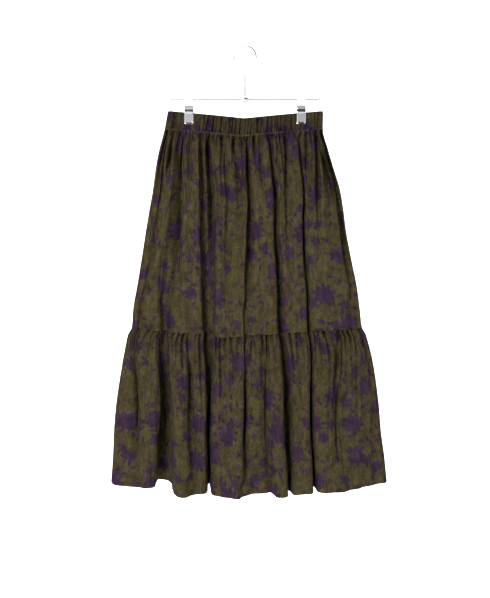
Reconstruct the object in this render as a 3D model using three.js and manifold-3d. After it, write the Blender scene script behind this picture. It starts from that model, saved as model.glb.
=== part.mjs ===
// Tiered ruffle skirt hanging from a clip hanger.
// Millimetres, +Z up, +X to the right of someone who faces the front, the front facing -Y.
// The origin is the point inside the hook's top where a rail carries the hanger.
// A drop is a distance down the cloth from the waist's top edge. A reach is a distance
// out from the plane of the side seams, forwards on the front and backwards on the back.

import * as THREE from "three";
import { mergeVertices } from "three/addons/utils/BufferGeometryUtils.js";
import Module from "manifold-3d";

const wasm = await Module();
wasm.setup();

// Driving dimensions of the skirt
const WAIST_TOP_Z = -125;
const BAND_HEIGHT = 36;
const SEAM_DROP = 438;
const HEM_DROP = 768;
const PIECE_GAP = 0.3;
const CLOTH_WALL = 1.9;
const BAND_WALL = 4;

// The waist's top edge sags in a shallow V between the clips, and the cloth below follows
const SAG_DEPTH = 14;
const SAG_POWER = 1.15;

// The elastic waistband: how far it stands out, and how the clips pinch it
const BAND_REACH = 12;
const BAND_END_ROUND = 12;
const BAND_RIB = 1.1;
const TIER_INSET = 1.2;
const CLIP_X = 112;
const PINCH_DEPTH = 7;
const PINCH_FLAT = 10;
const PINCH_END = 36;

// Gathers: four columns of the mesh make one gather, and two make one rib of the waistband
const COLUMNS_PER_GATHER = 4;
const COLUMNS_PER_RIB = 2;
const SEAM_COLUMNS = 4;
const WAIST_GATHERS = 34;
const RUFFLE_GATHERS = 38;
const WAIST_GATHER_HEIGHT = 2.4;
const WAIST_GATHER_FADE = 45;
const RUFFLE_GATHER_HEIGHT = 2.8;
const RUFFLE_GATHER_FADE = 28;
const GATHER_SLOPE = 0.8;

// The ruffle puffs out just under its seam
const PUFF_REACH = 6;
const PUFF_LENGTH = 12;

// Folds lean over at their steep sides: 1 is upright, more leans over
const FOLD_LEAN_RATE = 0.5;
const FOLD_LEAN_MOST = 1.1;

// Driving dimensions of the hanger
const HOOK_WIRE = 4;
const HOOK_INNER_RADIUS = 20;
const HOOK_START_ANGLE = -50;
const HOOK_END_ANGLE = 195;
const NECK_BEND_Z = -62;
const NECK_SWING = 10;
const HOOK_STEPS = 44;
const WIRE_HALF_SIDES = 5;
const BAR_DIAMETER = 5;
const BAR_LENGTH = 296;
const BAR_Z = -102;
const BAR_END_DIAMETER = 7;
const BAR_END_LENGTH = 4;
const COLLAR_DIAMETER = 11;
const COLLAR_LENGTH = 14;

// Driving dimensions of one clip
const JAW_WIDTH = 18;
const JAW_GRIP = 23;
const JAW_SHEET = 1.4;
const JAW_CORNER = 4;
const JAW_RIM = 2;
const JAW_PANEL_DEPTH = 0.4;
const LIP_HEIGHT = 3;
const LIP_OUT = 1.2;
const STEM_HALF_WIDTH = 3;
const SADDLE_WIDTH = 13;
const SADDLE_RADIUS = 6;
const LEVER_TOP_Z = -98;
const LEVER_OUT = 12;

// Heights on a clip above the waist's top edge
const LEVER_FOOT = 14;
const STEM_REST = 7;
const STEM_FOOT = 3;
const GRIP_START = 2;

// The skirt's half-widths at each drop, how much of the waist's sag is left there, and the
// place of its lowest point
const SECTIONS = columns(["drop", "left", "right", "sag", "apex"], [
  [0, 154, 156, 1.0, -5],
  [36, 161, 156, 1.0, -5],
  [77, 172, 167, 1.0, -8],
  [110, 179, 177, 1.0, -12],
  [157, 186, 192, 1.0, -16],
  [189, 192, 198, 1.0, -20],
  [238, 201, 205, 1.02, -26],
  [303, 212, 218, 1.04, -32],
  [353, 221, 229, 1.06, -38],
  [402, 230, 236, 1.08, -42],
  [438, 233, 241, 1.1, -45],
  [453, 241, 249, 1.1, -44],
  [469, 245, 254, 1.08, -42],
  [503, 252, 263, 1.05, -38],
  [554, 261, 272, 1.0, -30],
  [605, 269, 279, 0.96, -22],
  [657, 274, 284, 0.92, -15],
  [709, 277, 292, 0.88, -9],
  [768, 282, 299, 0.85, -5],
]);

// Drops at which the fold tables give places and reaches
const STATIONS = { waist: 36, hip: 238, seam: 438, flare: 605, hem: 768 };
const FOLD_ONSET_DROP = 110;
const FOLD_ONSET_SHARE = 0.6;

// Ridges and grooves of the front from left to right. The first five columns are each
// line's place across the skirt at the stations, the rest its reach below the waist.
const FOLD_COLUMNS = [
  "waist", "hip", "seam", "flare", "hem", "hipReach", "seamReach", "flareReach", "hemReach",
];
const FRONT_FOLDS = columns(FOLD_COLUMNS, [
  [-155, -192, -223, -248, -252, 14, 14, 20, 24],
  [-150, -181, -213, -223, -227, 8, 9, 8, 30],
  [-136, -164, -187, -196, -206, 26, 29, 42, 36],
  [-125, -145, -170, -176, -184, 14, 10, -2, -24],
  [-122, -139, -163, -163, -164, 12, 8, -4, -20],
  [-114, -116, -140, -137, -125, 30, 34, 66, 91],
  [-107, -106, -111, -115, -106, 32, 31, 48, 72],
  [-99, -96, -93, -93, -90, 32, 36, 60, 64],
  [-90, -87, -80, -79, -78, 6, 7, -2, -6],
  [-81, -75, -75, -74, -74, 24, 8, -1, -6],
  [-72, -65, -70, -70, -69, 8, 8, 0, -4],
  [-56, -52, -57, -56, -57, 34, 40, 56, 66],
  [-37, -39, -34, -32, -35, 26, 36, 58, 72],
  [-18, -14, -14, -16, -18, 36, 40, 58, 76],
  [2, 6, -1, -2, -1, 6, 18, 18, 58],
  [14, 26, 20, 18, 19, 34, 38, 52, 44],
  [24, 38, 38, 41, 52, 36, 35, 40, 36],
  [34, 46, 54, 65, 73, 34, 38, 58, 74],
  [48, 60, 74, 89, 90, 6, 8, 5, 30],
  [64, 74, 89, 104, 102, 32, 36, 48, 66],
  [82, 86, 101, 114, 113, 28, 36, 54, 66],
  [94, 104, 115, 124, 125, 32, 36, 56, 64],
  [105, 119, 130, 137, 145, 8, 11, 12, 14],
  [122, 136, 146, 150, 162, 30, 36, 54, 64],
  [139, 156, 186, 190, 190, 32, 32, 36, 68],
  [147, 176, 205, 218, 225, 30, 32, 50, 45],
  [150, 191, 224, 247, 256, 8, 22, 40, 26],
  [153, 198, 233, 266, 281, 14, 14, 26, 9],
]);

// Ridges and grooves of the back, from left to right of someone who faces the back
const BACK_FOLDS = columns(FOLD_COLUMNS, [
  [-150, -196, -228, -263, -280, 20, 22, 30, 28],
  [-141, -178, -206, -236, -250, 14, 17, 20, 34],
  [-128, -158, -186, -212, -222, 32, 38, 56, 72],
  [-112, -137, -160, -180, -186, 20, 22, 26, 40],
  [-98, -116, -136, -150, -150, 36, 42, 66, 92],
  [-84, -99, -112, -118, -121, 18, 22, 34, 46],
  [-68, -80, -90, -94, -96, 38, 44, 70, 88],
  [-50, -56, -62, -62, -60, 26, 36, 44, 60],
  [-36, -38, -40, -38, -34, 38, 44, 68, 90],
  [-22, -20, -18, -14, -12, 16, 22, 30, 44],
  [-6, 0, 6, 12, 18, 38, 44, 70, 96],
  [10, 20, 30, 40, 46, 22, 32, 46, 66],
  [26, 40, 54, 66, 76, 38, 46, 70, 90],
  [42, 60, 76, 92, 100, 16, 20, 28, 42],
  [58, 82, 100, 120, 130, 38, 44, 68, 94],
  [76, 104, 124, 144, 152, 24, 28, 40, 56],
  [94, 124, 148, 172, 182, 36, 40, 62, 80],
  [112, 146, 172, 198, 208, 16, 18, 26, 42],
  [130, 168, 196, 224, 234, 30, 34, 46, 56],
  [142, 180, 210, 240, 250, 16, 18, 22, 34],
  [153, 193, 225, 258, 268, 16, 17, 24, 26],
]);

// Drops of the mesh rows. Rows before the break have every column, rows after it half.
const UPPER_ROWS = {
  fine: [BAND_HEIGHT + PIECE_GAP, 48, 71, 110],
  coarse: [176, 256, 346, SEAM_DROP - PIECE_GAP / 2],
};
const LOWER_ROWS = {
  fine: [SEAM_DROP + PIECE_GAP / 2, 451, 476],
  coarse: [522, 590, 676, HEM_DROP],
};
const BAND_ROWS = { fine: [0, JAW_GRIP + 1, BAND_HEIGHT], coarse: [] };

// Looks of the materials
const COTTON = { color: 0x4f4730, roughness: 0.9, metalness: 0 };
const BAND_COTTON = { color: 0x4a3a38, roughness: 0.9, metalness: 0 };
const CHROME = { color: 0xc9cacd, roughness: 0.18, metalness: 1 };

// Turns rows of numbers into objects with the named columns
function columns(names, rows) {
  return rows.map((row) => Object.fromEntries(names.map((name, i) => [name, row[i]])));
}

function smoothstep(low, high, value) {
  const t = Math.min(1, Math.max(0, (value - low) / (high - low)));
  return t * t * (3 - 2 * t);
}

// Slopes of a curve through the points that never overshoots them
function monotoneSlopes(xs, ys) {
  const last = xs.length - 1;
  const rise = xs.slice(1).map((x, i) => (ys[i + 1] - ys[i]) / (x - xs[i]));
  return xs.map((_, i) => {
    if (i === 0) return rise[0];
    if (i === last) return rise[last - 1];
    if (rise[i - 1] * rise[i] <= 0) return 0;
    return (2 * rise[i - 1] * rise[i]) / (rise[i - 1] + rise[i]);
  });
}

// Value at x of the smooth curve through the points
function smoothCurve(xs, ys, x) {
  const slopes = monotoneSlopes(xs, ys);
  let i = 0;
  while (i < xs.length - 2 && x > xs[i + 1]) i += 1;
  const width = xs[i + 1] - xs[i];
  const t = Math.min(1, Math.max(0, (x - xs[i]) / width));
  const start = (1 + 2 * t) * (1 - t) ** 2 * ys[i] + t * (1 - t) ** 2 * width * slopes[i];
  const end = t * t * (3 - 2 * t) * ys[i + 1] + t * t * (t - 1) * width * slopes[i + 1];
  return start + end;
}

const SECTION_DROPS = SECTIONS.map((section) => section.drop);

function sectionValue(name, drop) {
  return smoothCurve(SECTION_DROPS, SECTIONS.map((section) => section[name]), drop);
}

// Half-widths to the left and right of someone who faces the panel
function halfWidths(drop, side) {
  const left = sectionValue("left", drop);
  const right = sectionValue("right", drop);
  return side > 0 ? { left, right } : { left: right, right: left };
}

// How strongly the clips pinch the cloth at a place: 1 between their jaws
function pinch(x, drop) {
  const across = 1 - smoothstep(PINCH_FLAT, PINCH_END, Math.abs(Math.abs(x) - CLIP_X));
  const down = 1 - smoothstep(JAW_GRIP, FOLD_ONSET_DROP, drop);
  return across * down;
}

// Height of a point from its drop and the place of its column at the waist
function heightAt(drop, waistX, side) {
  const x = side * waistX;
  const apex = sectionValue("apex", drop);
  const { left, right } = halfWidths(STATIONS.waist, 1);
  const nearness = Math.max(0, 1 - Math.abs(x - apex) / (x < apex ? left + apex : right - apex));
  return WAIST_TOP_Z - drop - SAG_DEPTH * nearness ** SAG_POWER * sectionValue("sag", drop);
}

// Place and reach of one fold line at a drop
function foldAt(fold, drop, side) {
  const names = Object.keys(STATIONS);
  const drops = Object.values(STATIONS);
  const shares = names.map((name) => {
    const { left, right } = halfWidths(STATIONS[name], side);
    return (fold[name] + left) / (left + right);
  });
  const { left, right } = halfWidths(drop, side);
  const waistReach = BAND_REACH - TIER_INSET;
  const onset = waistReach + (fold.hipReach - waistReach) * FOLD_ONSET_SHARE;
  const reachDrops = [STATIONS.waist, FOLD_ONSET_DROP, ...drops.slice(1)];
  const reaches = [waistReach, onset, fold.hipReach, fold.seamReach, fold.flareReach, fold.hemReach];
  return {
    x: smoothCurve(drops, shares, drop) * (left + right) - left,
    reach: smoothCurve(reachDrops, reaches, drop),
  };
}

// Number of mesh columns between neighbouring fold lines, even, and in proportion to
// the cloth between them
function columnCounts(folds, side, stations, total) {
  const lengths = [];
  for (let i = 0; i <= folds.length; i += 1) {
    let length = 0;
    for (const drop of stations) {
      const { left, right } = halfWidths(drop, side);
      const from = i > 0 ? foldAt(folds[i - 1], drop, side) : { x: -left, reach: 0 };
      const to = i < folds.length ? foldAt(folds[i], drop, side) : { x: right, reach: 0 };
      length += Math.hypot(to.x - from.x, to.reach - from.reach);
    }
    lengths.push(length);
  }
  const whole = lengths.reduce((sum, length) => sum + length, 0);
  const counts = lengths.map((length) => 2 * Math.max(1, Math.round((total * length) / whole / 2)));
  const spare = total - counts.reduce((sum, count) => sum + count, 0);
  const widest = lengths.map((_, i) => i).sort((a, b) => lengths[b] - lengths[a]);
  for (let k = 0; k < Math.abs(spare) / 2; k += 1) {
    counts[widest[k]] += 2 * Math.sign(spare);
  }
  return counts;
}

// Plan curve through the fold lines, as points with a place and a reach. The two ends
// round away to the side seams as quarter ellipses, the folds are half waves between.
function planCurve(knots, ends, counts) {
  const points = [];
  const edge = PIECE_GAP / 2;
  counts.forEach((count, i) => {
    const from = i > 0 ? knots[i - 1] : { x: -ends.left, reach: edge };
    const to = i < knots.length ? knots[i] : { x: ends.right, reach: edge };
    const dx = to.x - from.x;
    const dr = to.reach - from.reach;
    const lean = Math.min(FOLD_LEAN_MOST, (FOLD_LEAN_RATE * Math.abs(dr)) / Math.abs(dx));
    for (let j = i === 0 ? 0 : 1; j <= count; j += 1) {
      const t = j / count;
      const quarter = (Math.PI / 2) * t;
      if (i === 0) {
        points.push({ x: from.x + dx * (1 - Math.cos(quarter)), reach: edge + dr * Math.sin(quarter) });
      } else if (i === knots.length) {
        points.push({ x: from.x + dx * Math.sin(quarter), reach: edge - dr * Math.cos(quarter) });
      } else {
        const along = t + (lean * Math.sin(2 * Math.PI * t)) / (2 * Math.PI);
        points.push({ x: from.x + dx * along, reach: from.reach + (dr * (1 - Math.cos(Math.PI * t))) / 2 });
      }
    }
  });
  return points;
}

// Outward normals of a plan curve, straight out to the sides at its two ends
function planNormals(points) {
  const last = points.length - 1;
  return points.map((_, i) => {
    if (i === 0) return { x: -1, reach: 0 };
    if (i === last) return { x: 1, reach: 0 };
    const dx = points[i + 1].x - points[i - 1].x;
    const dr = points[i + 1].reach - points[i - 1].reach;
    const length = Math.hypot(dx, dr);
    return { x: -dr / length, reach: dx / length };
  });
}

// Height of the gathers at one column: full in the middle of a panel, none at its seams
function gatherWave(index, last, perWave) {
  const phase = Math.cos((2 * Math.PI * index) / perWave);
  const uneven = 0.8 + 0.2 * Math.sin(2.4 * Math.floor(index / perWave));
  return phase * uneven * awayFromSeam(index, last);
}

// Rises from 0 at a panel's side seams to 1 a few columns in
function awayFromSeam(index, last) {
  return Math.min(1, index / SEAM_COLUMNS, (last - index) / SEAM_COLUMNS);
}

// One mesh row of a panel: outer and inner points in space
function panelRow(panel, drop, step) {
  const ends = halfWidths(drop, panel.side);
  const knots = panel.knotsAt(drop);
  const base = planCurve(knots, ends, panel.counts);
  const waistEnds = halfWidths(STATIONS.waist, panel.side);
  const waist = planCurve(panel.knotsAt(STATIONS.waist), waistEnds, panel.counts);
  const normals = planNormals(base);
  const last = base.length - 1;
  const outer = [];
  const inner = [];
  for (let i = 0; i <= last; i += step) {
    const here = base[i];
    const normal = normals[i];
    const before = base[Math.max(0, i - 1)];
    const after = base[Math.min(last, i + 1)];
    const spacing = Math.hypot(after.x - before.x, after.reach - before.reach) / 2;
    const height = Math.min(panel.gatherHeight(drop), GATHER_SLOPE * spacing);
    const held = pinch(here.x, drop);
    const squeeze = PINCH_DEPTH * held;
    const bump = height * gatherWave(i, last, panel.perWave) * (1 - held);
    const proud = (panel.puff(drop) - squeeze) * awayFromSeam(i, last);
    const z = heightAt(drop, waist[i].x, panel.side);
    const pointAt = (out) => {
      const x = here.x + normal.x * out;
      const reach = here.reach + normal.reach * out + proud;
      return new THREE.Vector3(panel.side * x, -panel.side * reach, z);
    };
    outer.push(pointAt(bump));
    inner.push(pointAt((panel.plainInside ? 0 : bump) - panel.wall));
  }
  return { outer, inner };
}

// Triangles between two rows of point numbers. The lower row may have half the columns.
function stitchRows(upper, lower, flip, indices) {
  const add = (a, b, c) => (flip ? indices.push(a, c, b) : indices.push(a, b, c));
  const ratio = (upper.length - 1) / (lower.length - 1);
  for (let j = 0; j < lower.length - 1; j += 1) {
    if (ratio === 1) {
      add(upper[j], lower[j], upper[j + 1]);
      add(upper[j + 1], lower[j], lower[j + 1]);
    } else {
      add(upper[2 * j], lower[j], upper[2 * j + 1]);
      add(upper[2 * j + 1], lower[j], lower[j + 1]);
      add(upper[2 * j + 1], lower[j + 1], upper[2 * j + 2]);
    }
  }
}

// Closed wall of a panel from its rows
function panelGeometry(panel) {
  const rows = [
    ...panel.rows.fine.map((drop) => panelRow(panel, drop, 1)),
    ...panel.rows.coarse.map((drop) => panelRow(panel, drop, 2)),
  ];
  const positions = [];
  const number = (points) => points.map((point) => {
    positions.push(point.x, point.y, point.z);
    return positions.length / 3 - 1;
  });
  const numbered = rows.map(({ outer, inner }) => ({ outer: number(outer), inner: number(inner) }));
  const indices = [];
  for (let r = 0; r < numbered.length - 1; r += 1) {
    const above = numbered[r];
    const below = numbered[r + 1];
    stitchRows(above.outer, below.outer, false, indices);
    stitchRows(above.inner, below.inner, true, indices);
    const start = [above.inner[0], above.outer[0]];
    stitchRows(start, [below.inner[0], below.outer[0]], false, indices);
    const finish = [above.outer.at(-1), above.inner.at(-1)];
    stitchRows(finish, [below.outer.at(-1), below.inner.at(-1)], false, indices);
  }
  stitchRows(numbered[0].inner, numbered[0].outer, false, indices);
  stitchRows(numbered.at(-1).outer, numbered.at(-1).inner, false, indices);
  const geometry = new THREE.BufferGeometry();
  geometry.setAttribute("position", new THREE.Float32BufferAttribute(positions, 3));
  geometry.setIndex(indices);
  return geometry;
}

// Front or back panel of a tier, gathered along its top edge
function tierPanel(folds, side, rows, gathers, stations, gatherHeight, puff) {
  return panelGeometry({
    side,
    rows,
    wall: CLOTH_WALL,
    perWave: COLUMNS_PER_GATHER,
    counts: columnCounts(folds, side, stations, gathers * COLUMNS_PER_GATHER),
    knotsAt: (drop) => folds.map((fold) => foldAt(fold, drop, side)),
    gatherHeight,
    puff,
  });
}

function upperTier(folds, side) {
  const fade = (drop) => Math.exp(-(drop - BAND_HEIGHT) / WAIST_GATHER_FADE);
  return tierPanel(
    folds, side, UPPER_ROWS, WAIST_GATHERS, [STATIONS.hip, STATIONS.seam],
    (drop) => WAIST_GATHER_HEIGHT * fade(drop), () => 0,
  );
}

function lowerTier(folds, side) {
  const below = (drop) => Math.max(0, drop - SEAM_DROP);
  return tierPanel(
    folds, side, LOWER_ROWS, RUFFLE_GATHERS, [STATIONS.seam, STATIONS.flare, STATIONS.hem],
    (drop) => RUFFLE_GATHER_HEIGHT * Math.exp(-below(drop) / RUFFLE_GATHER_FADE),
    (drop) => PUFF_REACH * (1 - Math.exp(-below(drop) / PUFF_LENGTH)),
  );
}

// Half of the waistband, ribbed by the same gathers as the cloth below it
function waistband(side) {
  return panelGeometry({
    side,
    rows: BAND_ROWS,
    wall: BAND_WALL,
    plainInside: true,
    perWave: COLUMNS_PER_RIB,
    counts: [SEAM_COLUMNS, WAIST_GATHERS * COLUMNS_PER_RIB - 2 * SEAM_COLUMNS, SEAM_COLUMNS],
    knotsAt: (drop) => {
      const { left, right } = halfWidths(drop, side);
      return [
        { x: BAND_END_ROUND - left, reach: BAND_REACH },
        { x: right - BAND_END_ROUND, reach: BAND_REACH },
      ];
    },
    gatherHeight: () => BAND_RIB,
    puff: () => 0,
  });
}

// Library solid of a closed mesh, with its shared corners merged
function solidOf(geometry) {
  const bare = geometry.clone();
  bare.deleteAttribute("normal");
  bare.deleteAttribute("uv");
  const merged = mergeVertices(bare, 1e-4);
  return new wasm.Manifold(new wasm.Mesh({
    numProp: 3,
    vertProperties: new Float32Array(merged.attributes.position.array),
    triVerts: new Uint32Array(merged.index.array),
  }));
}

// Geometry of a library solid
function geometryOf(solid) {
  const mesh = solid.getMesh();
  const geometry = new THREE.BufferGeometry();
  geometry.setAttribute("position", new THREE.Float32BufferAttribute(mesh.vertProperties, 3));
  geometry.setIndex([...mesh.triVerts]);
  return geometry;
}

// Rod along X
function rodAlongX(diameter, length, x, z) {
  const rod = new THREE.CylinderGeometry(diameter / 2, diameter / 2, length, 12);
  rod.rotateZ(Math.PI / 2);
  rod.translate(x, 0, z);
  return rod;
}

// Hook and neck: one round wire that rises from the bar, swings out and over the rail
function hookGeometry() {
  const radius = HOOK_INNER_RADIUS + HOOK_WIRE / 2;
  const centre = new THREE.Vector2(0, -HOOK_INNER_RADIUS);
  const start = THREE.MathUtils.degToRad(HOOK_START_ANGLE);
  const end = THREE.MathUtils.degToRad(HOOK_END_ANGLE);
  const at = (angle, r) => new THREE.Vector3(
    centre.x + r * Math.cos(angle), 0, centre.y + r * Math.sin(angle),
  );
  const joint = at(start, radius);
  const tangent = new THREE.Vector3(-Math.sin(start), 0, Math.cos(start));
  const path = new THREE.CurvePath();
  path.add(new THREE.LineCurve3(new THREE.Vector3(0, 0, BAR_Z), new THREE.Vector3(0, 0, NECK_BEND_Z)));
  path.add(new THREE.CubicBezierCurve3(
    new THREE.Vector3(0, 0, NECK_BEND_Z),
    new THREE.Vector3(0, 0, NECK_BEND_Z + NECK_SWING),
    joint.clone().addScaledVector(tangent, -NECK_SWING),
    joint,
  ));
  const arc = [];
  for (let i = 0; i <= HOOK_STEPS; i += 1) {
    arc.push(at(start + ((end - start) * i) / HOOK_STEPS, radius));
  }
  path.add(new THREE.CatmullRomCurve3(arc));
  const section = new THREE.Shape();
  section.absarc(0, 0, HOOK_WIRE / 2, 0, 2 * Math.PI, false);
  return new THREE.ExtrudeGeometry(section, {
    steps: HOOK_STEPS,
    extrudePath: path,
    curveSegments: WIRE_HALF_SIDES,
  });
}

function hangerFrame() {
  const endX = BAR_LENGTH / 2;
  const pieces = [
    rodAlongX(BAR_DIAMETER, BAR_LENGTH, 0, BAR_Z),
    rodAlongX(COLLAR_DIAMETER, COLLAR_LENGTH, 0, BAR_Z),
    rodAlongX(BAR_END_DIAMETER, BAR_END_LENGTH, -endX, BAR_Z),
    rodAlongX(BAR_END_DIAMETER, BAR_END_LENGTH, endX, BAR_Z),
  ];
  let solid = solidOf(hookGeometry());
  for (const piece of pieces) solid = solid.add(solidOf(piece));
  return geometryOf(solid);
}

function extrude(outline, depth) {
  return new THREE.ExtrudeGeometry(outline, { depth, bevelEnabled: false, curveSegments: 6 });
}

// Extrusion of an outline in the Y-Z plane, centred on the clip's middle
function extrudeAcross(outline, width) {
  const geometry = extrude(outline, width);
  geometry.rotateX(Math.PI / 2);
  geometry.rotateZ(Math.PI / 2);
  geometry.translate(-width / 2, 0, 0);
  return geometry;
}

// Saddle: a sleeve round the bar with a stem that the two jaws close on
function clipSaddle(waistTop) {
  const stemBottom = waistTop + STEM_FOOT;
  const wrap = Math.asin(STEM_HALF_WIDTH / SADDLE_RADIUS);
  const outline = new THREE.Shape();
  outline.moveTo(-STEM_HALF_WIDTH, stemBottom);
  outline.lineTo(STEM_HALF_WIDTH, stemBottom);
  outline.lineTo(STEM_HALF_WIDTH, BAR_Z - SADDLE_RADIUS * Math.cos(wrap));
  outline.absarc(0, BAR_Z, SADDLE_RADIUS, -Math.PI / 2 + wrap, 1.5 * Math.PI - wrap, false);
  outline.closePath();
  const bore = new THREE.Path();
  bore.absarc(0, BAR_Z, BAR_DIAMETER / 2 + PIECE_GAP, 0, 2 * Math.PI, true);
  outline.holes.push(bore);
  return extrudeAcross(outline, SADDLE_WIDTH);
}

// Jaw: a bent sheet from the finger lever, past the stem and down over the waistband,
// with a rolled lip. Its face has rounded lower corners and a raised rim.
function clipJaw(waistTop, gripReach) {
  const bottom = waistTop - JAW_GRIP;
  const stemReach = STEM_HALF_WIDTH + PIECE_GAP;
  const inner = [
    [LEVER_OUT, LEVER_TOP_Z],
    [stemReach, waistTop + LEVER_FOOT],
    [stemReach, waistTop + STEM_REST],
    [gripReach, waistTop + GRIP_START],
    [gripReach, bottom + LIP_HEIGHT],
    [gripReach + LIP_OUT, bottom],
  ];
  const outline = new THREE.Shape();
  inner.forEach(([y, z], i) => (i === 0 ? outline.moveTo(y, z) : outline.lineTo(y, z)));
  [...inner].reverse().forEach(([y, z]) => outline.lineTo(y + JAW_SHEET, z));
  outline.closePath();
  const sheet = solidOf(extrudeAcross(outline, JAW_WIDTH));
  const face = roundedPlate(JAW_WIDTH, bottom, LEVER_TOP_Z, JAW_CORNER);
  const whole = sheet.intersect(solidOf(face));
  const panel = roundedPlate(
    JAW_WIDTH - 2 * JAW_RIM, bottom + LIP_HEIGHT, waistTop, JAW_CORNER - JAW_RIM,
    gripReach + JAW_SHEET - JAW_PANEL_DEPTH,
  );
  return geometryOf(whole.subtract(solidOf(panel)));
}

// Plate across the clip with rounded lower corners, from one reach outwards
function roundedPlate(width, bottom, top, corner, fromReach = 0) {
  const half = width / 2;
  const thickness = LEVER_OUT + 2 * JAW_SHEET + 1;
  const outline = new THREE.Shape();
  outline.moveTo(-half, top);
  outline.lineTo(-half, bottom + corner);
  outline.absarc(-half + corner, bottom + corner, corner, Math.PI, 1.5 * Math.PI, false);
  outline.lineTo(half - corner, bottom);
  outline.absarc(half - corner, bottom + corner, corner, 1.5 * Math.PI, 2 * Math.PI, false);
  outline.lineTo(half, top);
  outline.closePath();
  const plate = extrude(outline, thickness);
  plate.rotateX(Math.PI / 2);
  plate.rotateZ(Math.PI);
  plate.translate(0, fromReach, 0);
  return plate;
}

function named(name, geometry, look) {
  const mesh = new THREE.Mesh(geometry, new THREE.MeshStandardMaterial(look));
  mesh.name = name;
  return mesh;
}

const skirt = new THREE.Group();
skirt.add(named("waistband_front", waistband(1), BAND_COTTON));
skirt.add(named("waistband_back", waistband(-1), BAND_COTTON));
skirt.add(named("upper_tier_front", upperTier(FRONT_FOLDS, 1), COTTON));
skirt.add(named("upper_tier_back", upperTier(BACK_FOLDS, -1), COTTON));
skirt.add(named("lower_tier_front", lowerTier(FRONT_FOLDS, 1), COTTON));
skirt.add(named("lower_tier_back", lowerTier(BACK_FOLDS, -1), COTTON));
skirt.add(named("hanger_frame", hangerFrame(), CHROME));

for (const [name, clipX] of [["left", -CLIP_X], ["right", CLIP_X]]) {
  const waistTop = heightAt(0, clipX, 1);
  const gripReach = BAND_REACH - PINCH_DEPTH + PIECE_GAP;
  const clip = new THREE.Group();
  clip.position.x = clipX;
  clip.add(named(`clip_${name}_saddle`, clipSaddle(waistTop), CHROME));
  const front = named(`clip_${name}_front`, clipJaw(waistTop, gripReach), CHROME);
  front.rotation.z = Math.PI;
  clip.add(front);
  clip.add(named(`clip_${name}_back`, clipJaw(waistTop, gripReach), CHROME));
  skirt.add(clip);
}

export default skirt;
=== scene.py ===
"""Finished look of a tiered ruffle skirt that hangs from a clip hanger.

Everything is in metres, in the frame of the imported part: the origin is where a rail carries
the hook, Z is up, X is to the right of someone who faces the front, and the front faces -Y.
A drop is a distance down the cloth from the waist's top edge. A reach is a distance out from
the plane of the side seams, forwards on the front and backwards on the back.
"""
import logging
import math
from dataclasses import dataclass
from enum import Enum
from typing import Sequence, Union

import bmesh
import bpy
import numpy as np
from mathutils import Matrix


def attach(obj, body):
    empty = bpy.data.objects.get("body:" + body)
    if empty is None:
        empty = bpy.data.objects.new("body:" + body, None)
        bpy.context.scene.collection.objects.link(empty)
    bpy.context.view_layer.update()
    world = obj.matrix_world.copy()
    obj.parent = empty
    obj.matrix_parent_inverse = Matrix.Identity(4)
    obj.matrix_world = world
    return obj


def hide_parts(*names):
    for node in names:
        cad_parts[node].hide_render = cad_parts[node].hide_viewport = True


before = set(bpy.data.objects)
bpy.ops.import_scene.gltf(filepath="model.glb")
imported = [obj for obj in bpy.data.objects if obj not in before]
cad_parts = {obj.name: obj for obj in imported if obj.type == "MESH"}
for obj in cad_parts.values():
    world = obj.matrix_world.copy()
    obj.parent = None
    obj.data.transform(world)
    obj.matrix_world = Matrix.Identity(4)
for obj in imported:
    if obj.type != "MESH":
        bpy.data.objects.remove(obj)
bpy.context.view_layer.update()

# What goes into a node's socket: a value, another node's output, or a node for its first one
Feed = Union[float, Sequence[float], bpy.types.Node, bpy.types.NodeSocket]

MM = 0.001
BODY = "root"
CLOTH_UV = "cloth"

logging.basicConfig(level=logging.INFO, format="%(message)s")
log = logging.getLogger("skirt")

# Half-widths of the skirt at each drop, in millimetres: drop, left, right, then how much of
# the waist's sag is left there, as a share, and the place of its lowest point.
SECTIONS = np.array([
    [0, 154, 156, 1.0, -5],
    [36, 161, 156, 1.0, -5],
    [77, 172, 167, 1.0, -8],
    [110, 179, 177, 1.0, -12],
    [157, 186, 192, 1.0, -16],
    [189, 192, 198, 1.0, -20],
    [238, 201, 205, 1.02, -26],
    [303, 212, 218, 1.04, -32],
    [353, 221, 229, 1.06, -38],
    [402, 230, 236, 1.08, -42],
    [438, 233, 241, 1.1, -45],
    [453, 241, 249, 1.1, -44],
    [469, 245, 254, 1.08, -42],
    [503, 252, 263, 1.05, -38],
    [554, 261, 272, 1.0, -30],
    [605, 269, 279, 0.96, -22],
    [657, 274, 284, 0.92, -15],
    [709, 277, 292, 0.88, -9],
    [768, 282, 299, 0.85, -5],
]) * np.array([MM, MM, MM, 1.0, MM])

# Drops of the stations at which the fold tables give places and reaches: the waist's seam,
# the hip, the tiers' seam, the flare of the ruffle and the hem.
STATION_DROPS = np.array([36, 238, 438, 605, 768]) * MM

FOLD_UNITS = np.array([MM] * 9 + [1.0, 1.0])

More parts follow.
